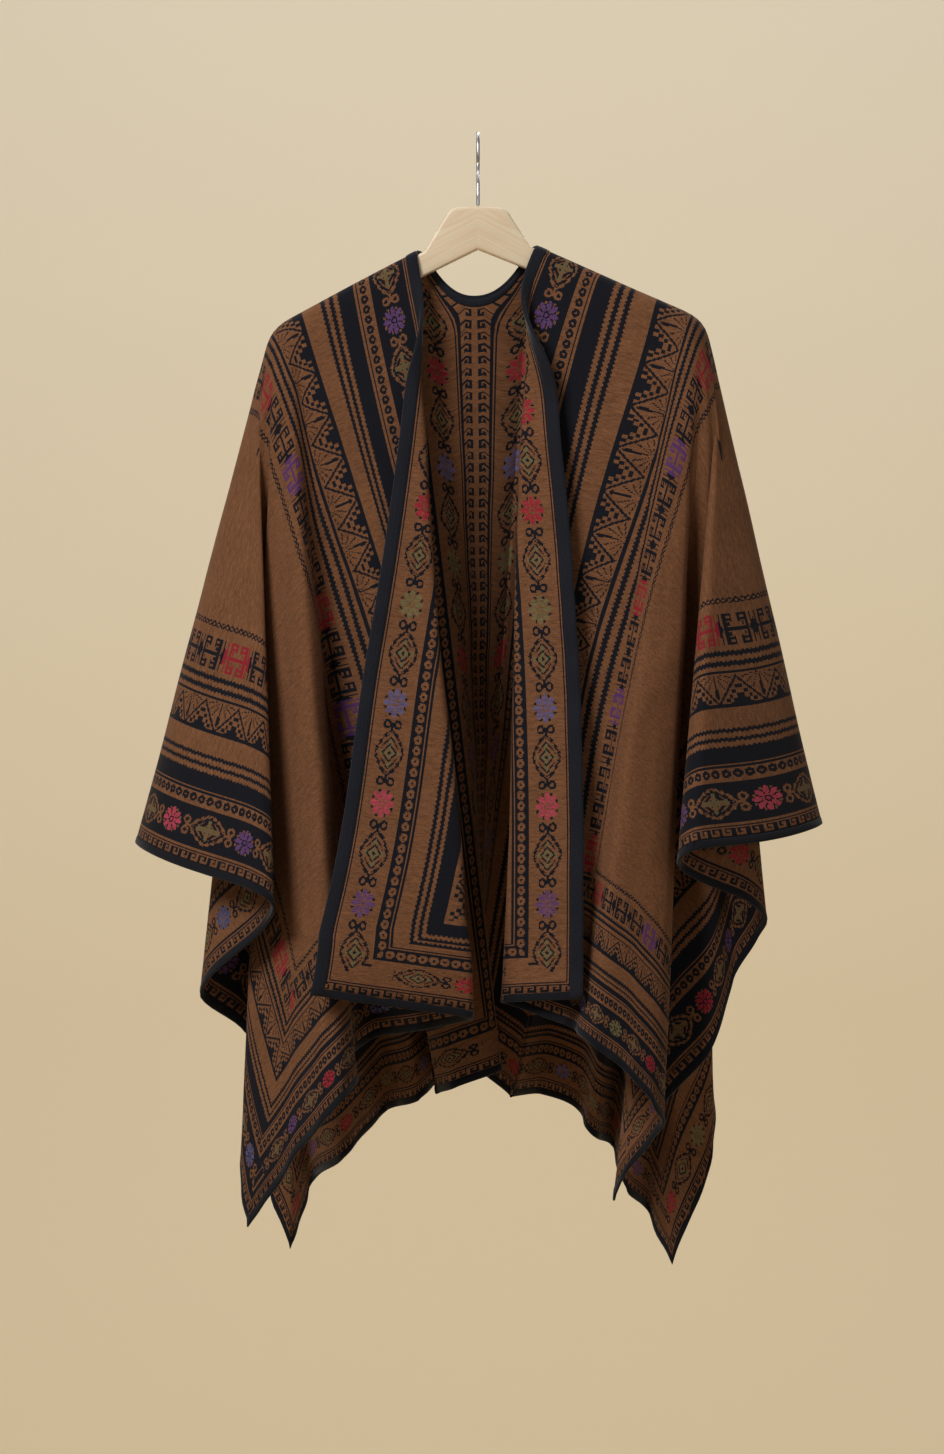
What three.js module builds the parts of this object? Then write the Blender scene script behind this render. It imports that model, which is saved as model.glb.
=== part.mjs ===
// Open-front blanket cape hanging on a wooden hanger. Millimetres, +Z up, the wearer's front towards -Y.
// The origin is where the hook rests on a rail.
//
// The blanket is described by flat coordinates on each side of the body: s runs out from the centre line and
// t runs from the shoulder line, negative down the front and positive down the back. The cloth lies along the
// hanger arm from the neck to the shoulder point, and past that point it fans out in straight rays, which the
// tables below tilt into folds.

import * as THREE from 'three';

// The cut
const HALF_WIDTH = 712;
const FRONT_LENGTH = 745;
const SLIT_HALF = 12;
const NECK_DEPTH = 60;

// Walls
const CLOTH_THICK = 2.2;
const TAPE_THICK = 3.2;
const TAPE_WIDTH = 13;
const NECK_TAPE_WIDTH = 11;
const NECK_SEAM = 1.1;
const HEM_WIDTH = 7;
const SEAM = 0.3;
const HALF_SEAM = SEAM / 2;
const TAPE_END = SLIT_HALF + TAPE_WIDTH;
const TAPE_MIDDLE = SLIT_HALF + TAPE_WIDTH / 2;

// How the cloth bends
const SHOULDER_BEND = 50;
const NECK_BEND = 16;
const FOLD_RUN = 200;
const FOLD_EASE = 0.75;
const CROWN = 12;
const LAPEL_RADIUS = 6;
const LAPEL_OPENING = 160;
const LAPEL_ARC = Math.PI * LAPEL_RADIUS / 2;
const LAPEL_MARGIN = 16;
const NECK_SHARE = 44;
const NECK_SAG = new THREE.Vector3(-4, 11, -161);
const NECK_SAG_POWER = 2.2;
const NECK_WRAP = 0.14;
const NECK_DROP = 1;
const NECK_STEP_IN = 6;

// Mesh steps
const ROWS = [0, 0.01, 0.022, 0.038, 0.06, 0.09, 0.13, 0.18, 0.25, 0.4, 0.6, 0.8, 1];
const RAY_STEP = 7;
const TURN_STEP = Math.PI / 4;
const ANGLE_PROBE = 0.5;
const FIRST_RAY = 82;
const PROBE = 0.5;

// Hanger
const WOOD_THICK = 11;
const WOOD_BEVEL = 3;
const ARM_REACH = 203;
const ARM_DEPTH = 22;
const ARM_TIP_DEPTH = 15;
const ARM_BELOW_CLOTH = 2.4;
const HUMP_TOP = -72;
const HUMP_HALF = 29;
const CROTCH = -115;
const WIRE = 3.6;
const HOOK_RADIUS = 20;

// Each ray leaves the shoulder point at a flat angle (0 is straight out along the shoulder line, -90 down the
// front, 90 down the back). side is its tilt towards the centre and depth its tilt towards the back, in degrees.
const LEFT = {
  sign: -1,
  neck: new THREE.Vector3(-60, 0, -117),
  shoulder: new THREE.Vector3(-184, 0, -183),
  backLength: 820,
  lapelAngle: 12.6,
  lapelLift: 0.06,
  panel: [
    { along: 0, side: 16.1, depth: -5 },
    { along: 1, side: 16.1, depth: -5 },
  ],
  rays: [
    { flat: -90, side: 16.1, depth: -5 },
    { flat: -85, side: 11, depth: 2 },
    { flat: -80.5, side: 6.2, depth: 7.2 },
    { flat: -77, side: 4.6, depth: 5 },
    { flat: -71.5, side: 5.2, depth: -1 },
    { flat: -68.5, side: 4.3, depth: -3.4 },
    { flat: -65, side: 2.8, depth: -2.6 },
    { flat: -60, side: 0.8, depth: 0.4 },
    { flat: -50.5, side: -2.6, depth: 4.8 },
    { flat: -47, side: -0.8, depth: 7.2 },
    { flat: -44.5, side: 0.3, depth: 9.5 },
    { flat: -41, side: -2.6, depth: 9 },
    { flat: -37, side: -6.3, depth: 5 },
    { flat: -26, side: 1, depth: -3.5 },
    { flat: -22.5, side: 2.2, depth: -7.2 },
    { flat: -19, side: 0.4, depth: -8 },
    { flat: -6, side: -12.6, depth: 0.2 },
    { flat: 0, side: -15, depth: 5 },
    { flat: 6, side: -12.6, depth: 10 },
    { flat: 20, side: -2, depth: 17 },
    { flat: 30, side: 5.5, depth: 19.5 },
    { flat: 34, side: 7.8, depth: 18 },
    { flat: 37, side: 6.3, depth: 16.2 },
    { flat: 46, side: 0.5, depth: 15.8 },
    { flat: 50, side: -1.5, depth: 14.2 },
    { flat: 53, side: -1, depth: 12 },
    { flat: 55.7, side: 0.4, depth: 11.5 },
    { flat: 62, side: 1.6, depth: 13.2 },
    { flat: 68, side: 4, depth: 8.5 },
    { flat: 74, side: 7, depth: 12 },
    { flat: 80, side: 9.5, depth: 8 },
    { flat: 86, side: 11.3, depth: 11 },
    { flat: 90, side: 10.4, depth: 3.5 },
  ],
};

const RIGHT = {
  sign: 1,
  neck: new THREE.Vector3(59, 0, -112),
  shoulder: new THREE.Vector3(203, 0, -176),
  backLength: 850,
  lapelAngle: 6.3,
  lapelLift: 0.3,
  panel: [
    { along: 0, side: 13.5, depth: -1 },
    { along: 0.2, side: 12.5, depth: -1 },
    { along: 0.55, side: 8.8, depth: -1 },
    { along: 1, side: 9.5, depth: -1 },
  ],
  rays: [
    { flat: -90, side: 9.5, depth: -1 },
    { flat: -84, side: 8.8, depth: -1 },
    { flat: -79, side: 7.8, depth: -3 },
    { flat: -72, side: 5, depth: -2 },
    { flat: -66, side: 2.9, depth: -0.5 },
    { flat: -63.5, side: 2.3, depth: 1.2 },
    { flat: -61, side: 3.2, depth: 2.6 },
    { flat: -57, side: 5, depth: 4 },
    { flat: -54, side: 5.9, depth: 5.4 },
    { flat: -51.5, side: 5, depth: 7.4 },
    { flat: -49, side: 3, depth: 7.6 },
    { flat: -44.6, side: -0.8, depth: 6.6 },
    { flat: -39, side: -2.6, depth: 7.8 },
    { flat: -34, side: -5, depth: 6.6 },
    { flat: -31, side: -5.8, depth: 4.2 },
    { flat: -27.5, side: -4, depth: 1.8 },
    { flat: -20.5, side: 4.4, depth: -4.6 },
    { flat: -18, side: 5.3, depth: -6.6 },
    { flat: -15, side: 3.4, depth: -7.4 },
    { flat: -5, side: -10.8, depth: -1.6 },
    { flat: 0, side: -13.2, depth: 2.5 },
    { flat: 6, side: -10.8, depth: 8 },
    { flat: 20, side: 0, depth: 14.5 },
    { flat: 30, side: 6.5, depth: 18 },
    { flat: 34, side: 7.6, depth: 16.3 },
    { flat: 37, side: 6.2, depth: 14.4 },
    { flat: 43, side: 1.5, depth: 13.6 },
    { flat: 47, side: -1, depth: 12.6 },
    { flat: 50, side: -1.6, depth: 10.8 },
    { flat: 53, side: -1.5, depth: 9.5 },
    { flat: 57.5, side: 1, depth: 9.3 },
    { flat: 62, side: 2.4, depth: 11.5 },
    { flat: 66, side: 3.9, depth: 9 },
    { flat: 71, side: 4.8, depth: 12.5 },
    { flat: 76, side: 6.2, depth: 9 },
    { flat: 81, side: 7.2, depth: 12 },
    { flat: 86, side: 10, depth: 12.5 },
    { flat: 90, side: 12, depth: 9 },
  ],
};

// Where the hem of the middle of the back ends up: a pleat stands forward of the centre line.
const BACK_PLEATS = [
  { along: -112, x: -23, depth: 40 },
  { along: -55, x: 22, depth: 45 },
  { along: 0, x: 4, depth: 103 },
  { along: 40, x: -6, depth: 137 },
  { along: 75, x: -12, depth: 160 },
  { along: 110, x: 2, depth: 172 },
];

const radians = THREE.MathUtils.degToRad;
const FRONTWARD = new THREE.Vector3(0, -1, 0);
const BACKWARD = new THREE.Vector3(0, 1, 0);

for (const side of [LEFT, RIGHT]) {
  const ridge = side.shoulder.clone().sub(side.neck);
  side.ridgeLength = ridge.length();
  side.ridge = ridge.normalize();
  side.shoulderAt = SLIT_HALF + side.ridgeLength;
  side.reach = HALF_WIDTH - side.shoulderAt;
}

// ---- smooth tables ----

function smooth(x) {
  const k = Math.min(Math.max(x, 0), 1);
  return k * k * (3 - 2 * k);
}

function slopeAt(rows, at, key, i) {
  if (i === 0 || i === rows.length - 1) {
    return 0;
  }
  const before = rows[i - 1];
  const after = rows[i + 1];
  return FOLD_EASE * (after[key] - before[key]) / (after[at] - before[at]);
}

// Cubic through the rows of a table, level at its two ends.
function readTable(rows, at, key, x) {
  const last = rows.length - 1;
  if (x <= rows[0][at]) {
    return rows[0][key];
  }
  if (x >= rows[last][at]) {
    return rows[last][key];
  }
  let i = 0;
  while (rows[i + 1][at] < x) {
    i += 1;
  }
  const span = rows[i + 1][at] - rows[i][at];
  const k = (x - rows[i][at]) / span;
  const k2 = k * k;
  const k3 = k2 * k;
  return (2 * k3 - 3 * k2 + 1) * rows[i][key]
    + (k3 - 2 * k2 + k) * span * slopeAt(rows, at, key, i)
    + (3 * k2 - 2 * k3) * rows[i + 1][key]
    + (k3 - k2) * span * slopeAt(rows, at, key, i + 1);
}

// How far a strip of cloth that leaves a ridge level has turned down after a length, for a bend of one radius.
function fallen(length, bend) {
  const x = Math.min(length / bend, 1);
  return bend * (x ** 3 - x ** 4 / 2) + Math.max(length - bend, 0);
}

function hanging(side, tiltIn, tiltBack) {
  const a = radians(tiltIn);
  const b = radians(tiltBack);
  return new THREE.Vector3(-side.sign * Math.sin(a) * Math.cos(b), Math.sin(b), -Math.cos(a) * Math.cos(b));
}

// ---- the drape ----

function ridgePoint(side, s) {
  return side.neck.clone().addScaledVector(side.ridge, s - SLIT_HALF);
}

function ridgeBend(side, s) {
  const along = Math.min(Math.max((s - SLIT_HALF) / side.ridgeLength, 0), 1);
  return NECK_BEND + (SHOULDER_BEND - NECK_BEND) * along;
}

// Past the shoulder point: rays that start level, turn down, and spread into folds.
function fanPoint(side, s, t) {
  const out = s - side.shoulderAt;
  const length = Math.hypot(out, t);
  const flatAngle = Math.atan2(t, out);
  const flat = THREE.MathUtils.radToDeg(flatAngle);
  const rows = side.rays;
  const end = flat < 0 ? rows[0] : rows[rows.length - 1];
  const start = rows.find((row) => row.flat === 0);
  const share = Math.abs(flat) / 90;
  const crown = Math.sign(flat) * CROWN * Math.sin(2 * Math.abs(flatAngle));
  const plainSide = start.side + (end.side - start.side) * (1 - Math.cos(flatAngle));
  const plainDepth = start.depth + (end.depth - start.depth) * share + crown;
  const plain = hanging(side, plainSide, plainDepth);
  const folded = hanging(side, readTable(rows, 'flat', 'side', flat), readTable(rows, 'flat', 'depth', flat));
  const level = side.ridge.clone().multiplyScalar(Math.cos(flatAngle));
  level.y += Math.sin(flatAngle);
  const down = fallen(length, SHOULDER_BEND);
  const inFolds = fallen(length, FOLD_RUN);
  return side.shoulder.clone()
    .addScaledVector(level, length - down)
    .addScaledVector(plain, down - inFolds)
    .addScaledVector(folded, inFolds);
}

// The front between the slit and the shoulder point, as if it weren't turned back.
function frontPoint(side, s, t) {
  if (s >= side.shoulderAt) {
    return fanPoint(side, s, t);
  }
  const top = ridgePoint(side, s);
  if (t >= 0) {
    return top.addScaledVector(BACKWARD, t);
  }
  const along = (s - SLIT_HALF) / side.ridgeLength;
  const down = fallen(-t, ridgeBend(side, s));
  const tiltIn = readTable(side.panel, 'along', 'side', along);
  const tiltBack = readTable(side.panel, 'along', 'depth', along);
  return top
    .addScaledVector(FRONTWARD, -t - down)
    .addScaledVector(hanging(side, tiltIn, tiltBack), down);
}

// The front with its opening edge turned back along a line from the neck.
function turnedPoint(side, s, t) {
  const angle = radians(side.lapelAngle);
  const run = (s - SLIT_HALF) * Math.sin(angle) - t * Math.cos(angle);
  const inside = (s - SLIT_HALF) * Math.cos(angle) + t * Math.sin(angle);
  const turn = Math.PI * smooth(run / LAPEL_OPENING);
  const half = turn * LAPEL_RADIUS / 2;
  if (inside >= half || t > 0) {
    return frontPoint(side, s, t);
  }
  const past = -inside;
  const theta = Math.min(past + half, turn * LAPEL_RADIUS) / LAPEL_RADIUS;
  const beyond = Math.max(past - half, 0);
  const across = half - LAPEL_RADIUS * Math.sin(theta) - beyond * Math.cos(turn);
  const forward = LAPEL_RADIUS * (1 - Math.cos(theta)) + beyond * Math.sin(turn);
  const onFold = (distance) => {
    const foldS = SLIT_HALF + run * Math.sin(angle) + distance * Math.cos(angle);
    const foldT = -run * Math.cos(angle) + distance * Math.sin(angle);
    return frontPoint(side, foldS, Math.min(foldT, 0));
  };
  const foot = onFold(0);
  const tangent = onFold(0).sub(frontPoint(side, SLIT_HALF, -HALF_SEAM)).normalize();
  const outward = new THREE.Vector3(side.sign, 0, 0).addScaledVector(tangent, -side.sign * tangent.x);
  outward.y = 0;
  outward.normalize();
  const plane = foot.clone().addScaledVector(outward, across);
  const blend = smooth((past + half) / (2 * half + 1)) * smooth(run / LAPEL_OPENING);
  return onFold(across).lerp(plane, blend)
    .addScaledVector(FRONTWARD, forward + side.lapelLift * beyond * smooth(run / LAPEL_OPENING));
}

// The middle of the back, by rulings from the ridge or the neck edge to the hem. along is the ruling's place on
// the hem from the centre line, negative on the left, and length the distance down it.
const centreRows = (() => {
  const end = (side) => {
    const row = side.rays[side.rays.length - 1];
    const hang = hanging(side, row.side, row.depth).multiplyScalar(side.backLength - SHOULDER_BEND / 2);
    return {
      along: side.sign * side.shoulderAt,
      x: side.shoulder.x + hang.x,
      depth: SHOULDER_BEND / 2 + hang.y,
    };
  };
  return [end(LEFT), ...BACK_PLEATS, end(RIGHT)];
})();

function backLengthAt(along) {
  const span = LEFT.shoulderAt + RIGHT.shoulderAt;
  const k = (along + LEFT.shoulderAt) / span;
  return LEFT.backLength + (RIGHT.backLength - LEFT.backLength) * k;
}

function rulingTop(along) {
  const side = along < 0 ? LEFT : RIGHT;
  const distance = Math.abs(along);
  if (distance >= NECK_SHARE) {
    const k = (distance - NECK_SHARE) / (side.shoulderAt - NECK_SHARE);
    const s = SLIT_HALF + side.ridgeLength * k;
    return { point: ridgePoint(side, s), bend: ridgeBend(side, s), start: 0, side, s };
  }
  const u = distance / NECK_SHARE;
  const edge = u * (SLIT_HALF + NECK_DEPTH);
  const wrap = Math.min((1 - u) / NECK_WRAP, 1);
  const inward = Math.min(u / (1 - NECK_WRAP), 1);
  const point = new THREE.Vector3(
    NECK_SAG.x + (side.neck.x - side.sign * NECK_STEP_IN * wrap - NECK_SAG.x) * inward,
    NECK_SAG.y * smooth(wrap),
    NECK_SAG.z + (side.neck.z - NECK_DROP * wrap - NECK_SAG.z) * inward ** NECK_SAG_POWER,
  );
  const start = NECK_DEPTH - Math.max(edge - SLIT_HALF, 0);
  return { point, bend: 1 + (NECK_BEND - 1) * (1 - smooth(wrap)), start, side, s: Math.min(edge, SLIT_HALF) };
}

function rulingLength(along) {
  return backLengthAt(along) - rulingTop(along).start;
}

function backPoint(along, length) {
  const top = rulingTop(along);
  const full = rulingLength(along) - top.bend / 2;
  const x = readTable(centreRows, 'along', 'x', along) - top.point.x;
  const y = readTable(centreRows, 'along', 'depth', along) - top.point.y - top.bend / 2;
  const hang = new THREE.Vector3(x, y, -Math.sqrt(full * full - x * x - y * y)).divideScalar(full);
  const down = fallen(length, top.bend);
  return top.point.addScaledVector(BACKWARD, length - down).addScaledVector(hang, down);
}

// ---- places on the cloth, with the surface's normal ----

function spot(read, u, v) {
  const alongU = read(u + PROBE, v).sub(read(u - PROBE, v));
  const alongV = read(u, v + PROBE).sub(read(u, v - PROBE));
  return { point: read(u, v), normal: alongU.cross(alongV).normalize() };
}

function flatSpot(side, s, t) {
  const place = spot((a, b) => turnedPoint(side, a, b), s, t);
  return { point: place.point, normal: place.normal.multiplyScalar(side.sign) };
}

function rulingSpot(along, length) {
  const read = (a, b) => (b < 0 ? rulingTop(a).point.addScaledVector(BACKWARD, b) : backPoint(a, b));
  return spot(read, along, length);
}

// ---- columns: straight lines in the flat cloth from the shoulder to the outer edge ----
// Each column gives a spot for a share of its cloth, and for a distance in from the outer edge.

function lineColumn(side, sAt, facing, length) {
  const at = (fromTop) => flatSpot(side, sAt(fromTop), facing * fromTop);
  return {
    cloth: (f) => at(HALF_SEAM + f * (length - HEM_WIDTH - HALF_SEAM)),
    edge: (inset) => at(length - inset),
  };
}

function rayColumn(side, facing, outer, inward) {
  const top = { s: side.shoulderAt, t: facing * HALF_SEAM };
  const pulled = (inset) => ({ s: outer.s - inward.s * inset, t: outer.t - inward.t * inset });
  return {
    cloth: (f) => {
      const end = pulled(HEM_WIDTH);
      return flatSpot(side, top.s + f * (end.s - top.s), top.t + f * (end.t - top.t));
    },
    edge: (inset) => {
      const place = pulled(inset);
      return flatSpot(side, place.s, place.t);
    },
  };
}

// Angles from one ray to another, close together where the cloth turns at its outer edge.
function rayAngles(from, to, placeAt) {
  const angles = [from];
  let before = placeAt(from).normal;
  let spent = 0;
  const steps = Math.round((from - to) / ANGLE_PROBE);
  for (let i = 1; i < steps; i += 1) {
    const angle = from + (to - from) * i / steps;
    const normal = placeAt(angle).normal;
    spent += ANGLE_PROBE / RAY_STEP + before.angleTo(normal) / TURN_STEP;
    before = normal;
    if (spent >= 1) {
      angles.push(angle);
      spent = 0;
    }
  }
  return angles;
}

// The rays of one quarter of the cloth, from near the straight-down ray round the corner to the shoulder line.
function rayColumns(side, facing, length, firstAngle) {
  const corner = THREE.MathUtils.radToDeg(Math.atan2(length, side.reach));
  const onHem = (angle) => ({ s: side.shoulderAt + length / Math.tan(radians(angle)), t: facing * length });
  const onSide = (angle) => ({ s: HALF_WIDTH, t: facing * side.reach * Math.tan(radians(angle)) });
  const placeOn = (outer) => flatSpot(side, outer.s, outer.t);
  const hem = rayAngles(firstAngle, corner, (angle) => placeOn(onHem(angle)));
  const edge = rayAngles(corner, 0, (angle) => placeOn(onSide(angle))).slice(1);
  return [
    ...hem.map((angle) => rayColumn(side, facing, onHem(angle), { s: 0, t: facing })),
    rayColumn(side, facing, { s: HALF_WIDTH, t: facing * length }, { s: 1, t: facing }),
    ...edge.map((angle) => rayColumn(side, facing, onSide(angle), { s: 1, t: 0 })),
    rayColumn(side, facing, { s: HALF_WIDTH, t: facing * HALF_SEAM }, { s: 1, t: 0 }),
  ];
}

function frontColumns(side) {
  const edge = TAPE_END + SEAM;
  const slope = Math.tan(radians(side.lapelAngle));
  const foldAt = (down) => Math.max(SLIT_HALF + down * slope, edge + LAPEL_MARGIN);
  const firstRayEnd = side.shoulderAt + FRONT_LENGTH / Math.tan(radians(FIRST_RAY));
  const rayAt = (down) => side.shoulderAt + (firstRayEnd - side.shoulderAt) * down / FRONT_LENGTH;
  const columns = [];
  for (const share of [0, 0.5]) {
    columns.push(lineColumn(side, (down) => edge + (foldAt(down) - LAPEL_ARC - edge) * share, -1, FRONT_LENGTH));
  }
  for (const share of [-1, -0.5, 0, 0.5, 1]) {
    columns.push(lineColumn(side, (down) => foldAt(down) + LAPEL_ARC * share, -1, FRONT_LENGTH));
  }
  for (const share of [0.35, 0.7]) {
    const sAt = (down) => {
      const from = foldAt(down) + LAPEL_ARC;
      return from + (rayAt(down) - from) * share;
    };
    columns.push(lineColumn(side, sAt, -1, FRONT_LENGTH));
  }
  return [...columns, ...rayColumns(side, -1, FRONT_LENGTH, FIRST_RAY)];
}

function rulingColumn(along, clothTop) {
  const full = rulingLength(along);
  return {
    cloth: (f) => rulingSpot(along, clothTop + f * (full - HEM_WIDTH - clothTop)),
    edge: (inset) => rulingSpot(along, full - inset),
    tape: (down) => rulingSpot(along, down),
  };
}

function ridgeRuling(side, s) {
  const share = (s - SLIT_HALF) / side.ridgeLength;
  return side.sign * (NECK_SHARE + (side.shoulderAt - NECK_SHARE) * share);
}

function neckRulings() {
  const shares = [0, 0.17, 0.34, 0.52, 0.7, 1 - NECK_WRAP, 1 - NECK_WRAP * 0.66, 1 - NECK_WRAP * 0.33, 1];
  const right = shares.map((share) => share * NECK_SHARE);
  const left = right.slice(1).map((along) => -along).reverse();
  return [...left, ...right];
}

function backColumns() {
  const columns = [];
  const ridgeShares = [0.85, 0.68, 0.5, 0.34, 0.2];
  const beside = (side) => ridgeShares.map((share) => {
    const s = TAPE_END + SEAM + (side.shoulderAt - TAPE_END - SEAM) * share;
    return rulingColumn(ridgeRuling(side, s), HALF_SEAM);
  });
  const atTape = (side) => [
    rulingColumn(ridgeRuling(side, TAPE_END + SEAM + 0.1), HALF_SEAM),
    rulingColumn(ridgeRuling(side, TAPE_END + SEAM), NECK_TAPE_WIDTH + NECK_SEAM),
    rulingColumn(ridgeRuling(side, TAPE_MIDDLE), NECK_TAPE_WIDTH + NECK_SEAM),
  ];
  const middle = neckRulings().map((along) => rulingColumn(along, NECK_TAPE_WIDTH + NECK_SEAM));
  columns.push(...rayColumns(LEFT, 1, LEFT.backLength, 90).reverse());
  columns.push(...beside(LEFT), ...atTape(LEFT), ...middle);
  columns.push(...atTape(RIGHT).reverse(), ...beside(RIGHT).reverse());
  columns.push(...rayColumns(RIGHT, 1, RIGHT.backLength, 90));
  return columns;
}

// ---- walls ----

// A closed wall on a grid of spots, with equal points shared so that a fan may start from one point.
function wall(grid, thickness) {
  const keys = new Map();
  const positions = [];
  const index = [];
  const vertex = (place, layer) => {
    const p = place.point.clone().addScaledVector(place.normal, layer * thickness / 2);
    const key = [p.x, p.y, p.z].map((value) => value.toFixed(3)).join(' ');
    if (!keys.has(key)) {
      keys.set(key, positions.length / 3);
      positions.push(p.x, p.y, p.z);
    }
    return keys.get(key);
  };
  const triangle = (a, b, c) => {
    if (a !== b && b !== c && c !== a) {
      index.push(a, b, c);
    }
  };
  const quad = (a, b, c, d) => {
    triangle(a, b, c);
    triangle(a, c, d);
  };
  const outer = grid.map((row) => row.map((place) => vertex(place, 1)));
  const inner = grid.map((row) => row.map((place) => vertex(place, -1)));
  const last = grid.length - 1;
  const end = grid[0].length - 1;
  for (let i = 0; i < last; i += 1) {
    for (let j = 0; j < end; j += 1) {
      quad(outer[i][j], outer[i + 1][j], outer[i + 1][j + 1], outer[i][j + 1]);
      quad(inner[i][j], inner[i][j + 1], inner[i + 1][j + 1], inner[i + 1][j]);
    }
    quad(outer[i][0], inner[i][0], inner[i + 1][0], outer[i + 1][0]);
    quad(outer[i][end], outer[i + 1][end], inner[i + 1][end], inner[i][end]);
  }
  for (let j = 0; j < end; j += 1) {
    quad(outer[0][j], outer[0][j + 1], inner[0][j + 1], inner[0][j]);
    quad(outer[last][j], inner[last][j], inner[last][j + 1], outer[last][j + 1]);
  }
  if (volumeOf(positions, index) < 0) {
    index.reverse();
  }
  const geometry = new THREE.BufferGeometry();
  geometry.setAttribute('position', new THREE.Float32BufferAttribute(positions, 3));
  geometry.setIndex(index);
  geometry.computeVertexNormals();
  return geometry;
}

function volumeOf(positions, index) {
  const corner = (i) => new THREE.Vector3().fromArray(positions, 3 * i);
  let volume = 0;
  for (let i = 0; i < index.length; i += 3) {
    volume += corner(index[i]).dot(corner(index[i + 1]).cross(corner(index[i + 2])));
  }
  return volume / 6;
}

function clothWall(columns) {
  return wall(ROWS.map((f) => columns.map((column) => column.cloth(f))), CLOTH_THICK);
}

function edgingWall(columns) {
  const insets = [HEM_WIDTH - SEAM, 0];
  return wall(insets.map((inset) => columns.map((column) => column.edge(inset))), CLOTH_THICK);
}

function openingTape(side) {
  const across = [0, 0.25, 0.5, 0.75, 1].map((share) => SLIT_HALF + TAPE_WIDTH * share);
  const rows = ROWS.map((f) => HALF_SEAM + f * (FRONT_LENGTH - HALF_SEAM));
  return wall(rows.map((down) => across.map((s) => flatSpot(side, s, -down))), TAPE_THICK);
}

function neckTape() {
  const ends = (side) => [TAPE_END, TAPE_MIDDLE].map((s) => ridgeRuling(side, s));
  const alongs = [...ends(LEFT), ...neckRulings(), ...ends(RIGHT).reverse()];
  const columns = alongs.map((along) => rulingColumn(along, 0));
  const rows = [0, 0.25, 0.5, 0.75, 1].map((share) => HALF_SEAM + (NECK_TAPE_WIDTH - HALF_SEAM) * share);
  return wall(rows.map((down) => columns.map((column) => column.tape(down))), CLOTH_THICK);
}

// ---- hanger ----

function hangerArm(side) {
  const below = new THREE.Vector3(side.sign * side.ridge.z, 0, -Math.abs(side.ridge.x)).normalize();
  const top = (distance, depth) => side.neck.clone()
    .addScaledVector(side.ridge, distance)
    .addScaledVector(below, depth);
  const reach = (ARM_REACH - Math.abs(side.neck.x)) / Math.abs(side.ridge.x);
  const tipRound = 26;
  const neckTop = top(-6, ARM_BELOW_CLOTH);
  const tipTop = top(reach - tipRound, ARM_BELOW_CLOTH);
  const tipCorner = top(reach, ARM_BELOW_CLOTH + 0.5);
  const tipMiddle = top(reach, ARM_BELOW_CLOTH + ARM_TIP_DEPTH / 2 + 2);
  const tipLow = top(reach, ARM_TIP_DEPTH + ARM_BELOW_CLOTH);
  const tipBottom = top(reach - tipRound / 2, ARM_TIP_DEPTH + ARM_BELOW_CLOTH);
  const elbow = top(6, ARM_DEPTH + ARM_BELOW_CLOTH);
  const centre = side.sign * HALF_SEAM;
  const shape = new THREE.Shape();
  shape.moveTo(centre, CROTCH);
  shape.lineTo(centre, HUMP_TOP);
  shape.lineTo(side.sign * HUMP_HALF * 0.7, HUMP_TOP - 0.8);
  shape.quadraticCurveTo(side.sign * HUMP_HALF, HUMP_TOP - 1, side.sign * (HUMP_HALF + 4), HUMP_TOP - 10);
  shape.lineTo(neckTop.x, neckTop.z);
  shape.lineTo(tipTop.x, tipTop.z);
  shape.quadraticCurveTo(tipCorner.x, tipCorner.z, tipMiddle.x, tipMiddle.z);
  shape.quadraticCurveTo(tipLow.x, tipLow.z, tipBottom.x, tipBottom.z);
  shape.lineTo(elbow.x, elbow.z);
  shape.closePath();
  const geometry = new THREE.ExtrudeGeometry(shape, {
    depth: WOOD_THICK - 2 * WOOD_BEVEL,
    bevelEnabled: true,
    bevelSize: WOOD_BEVEL,
    bevelThickness: WOOD_BEVEL,
    bevelOffset: -WOOD_BEVEL,
    bevelSegments: 2,
    curveSegments: 5,
  });
  geometry.rotateX(Math.PI / 2);
  geometry.translate(0, WOOD_THICK / 2 - WOOD_BEVEL, 0);
  return geometry;
}

function hookWire() {
  const line = HOOK_RADIUS + WIRE / 2;
  const onLoop = (degrees) => {
    const angle = radians(degrees);
    return new THREE.Vector3(0, line * Math.cos(angle), -HOOK_RADIUS + line * Math.sin(angle));
  };
  const points = [
    new THREE.Vector3(0, 0, HUMP_TOP + SEAM),
    new THREE.Vector3(0, 0, HUMP_TOP + 12),
    new THREE.Vector3(0, 3, HUMP_TOP + 24),
  ];
  for (let degrees = -48; degrees <= 204; degrees += 14) {
    points.push(onLoop(degrees));
  }
  const section = new THREE.Shape();
  section.absarc(0, 0, WIRE / 2, 0, 2 * Math.PI);
  return new THREE.ExtrudeGeometry(section, {
    extrudePath: new THREE.CatmullRomCurve3(points),
    steps: 56,
    curveSegments: 5,
    bevelEnabled: false,
  });
}

// ---- the part ----

const cloth = new THREE.MeshStandardMaterial({ color: 0x784e2f, roughness: 0.95, metalness: 0 });
const tape = new THREE.MeshStandardMaterial({ color: 0x1e2026, roughness: 0.95, metalness: 0 });
const wood = new THREE.MeshStandardMaterial({ color: 0xe6c396, roughness: 0.5, metalness: 0 });
const chrome = new THREE.MeshStandardMaterial({ color: 0xc8c8c8, roughness: 0.15, metalness: 1 });

const cape = new THREE.Group();

function addPiece(name, geometry, material) {
  const mesh = new THREE.Mesh(geometry, material);
  mesh.name = name;
  cape.add(mesh);
}

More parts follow.
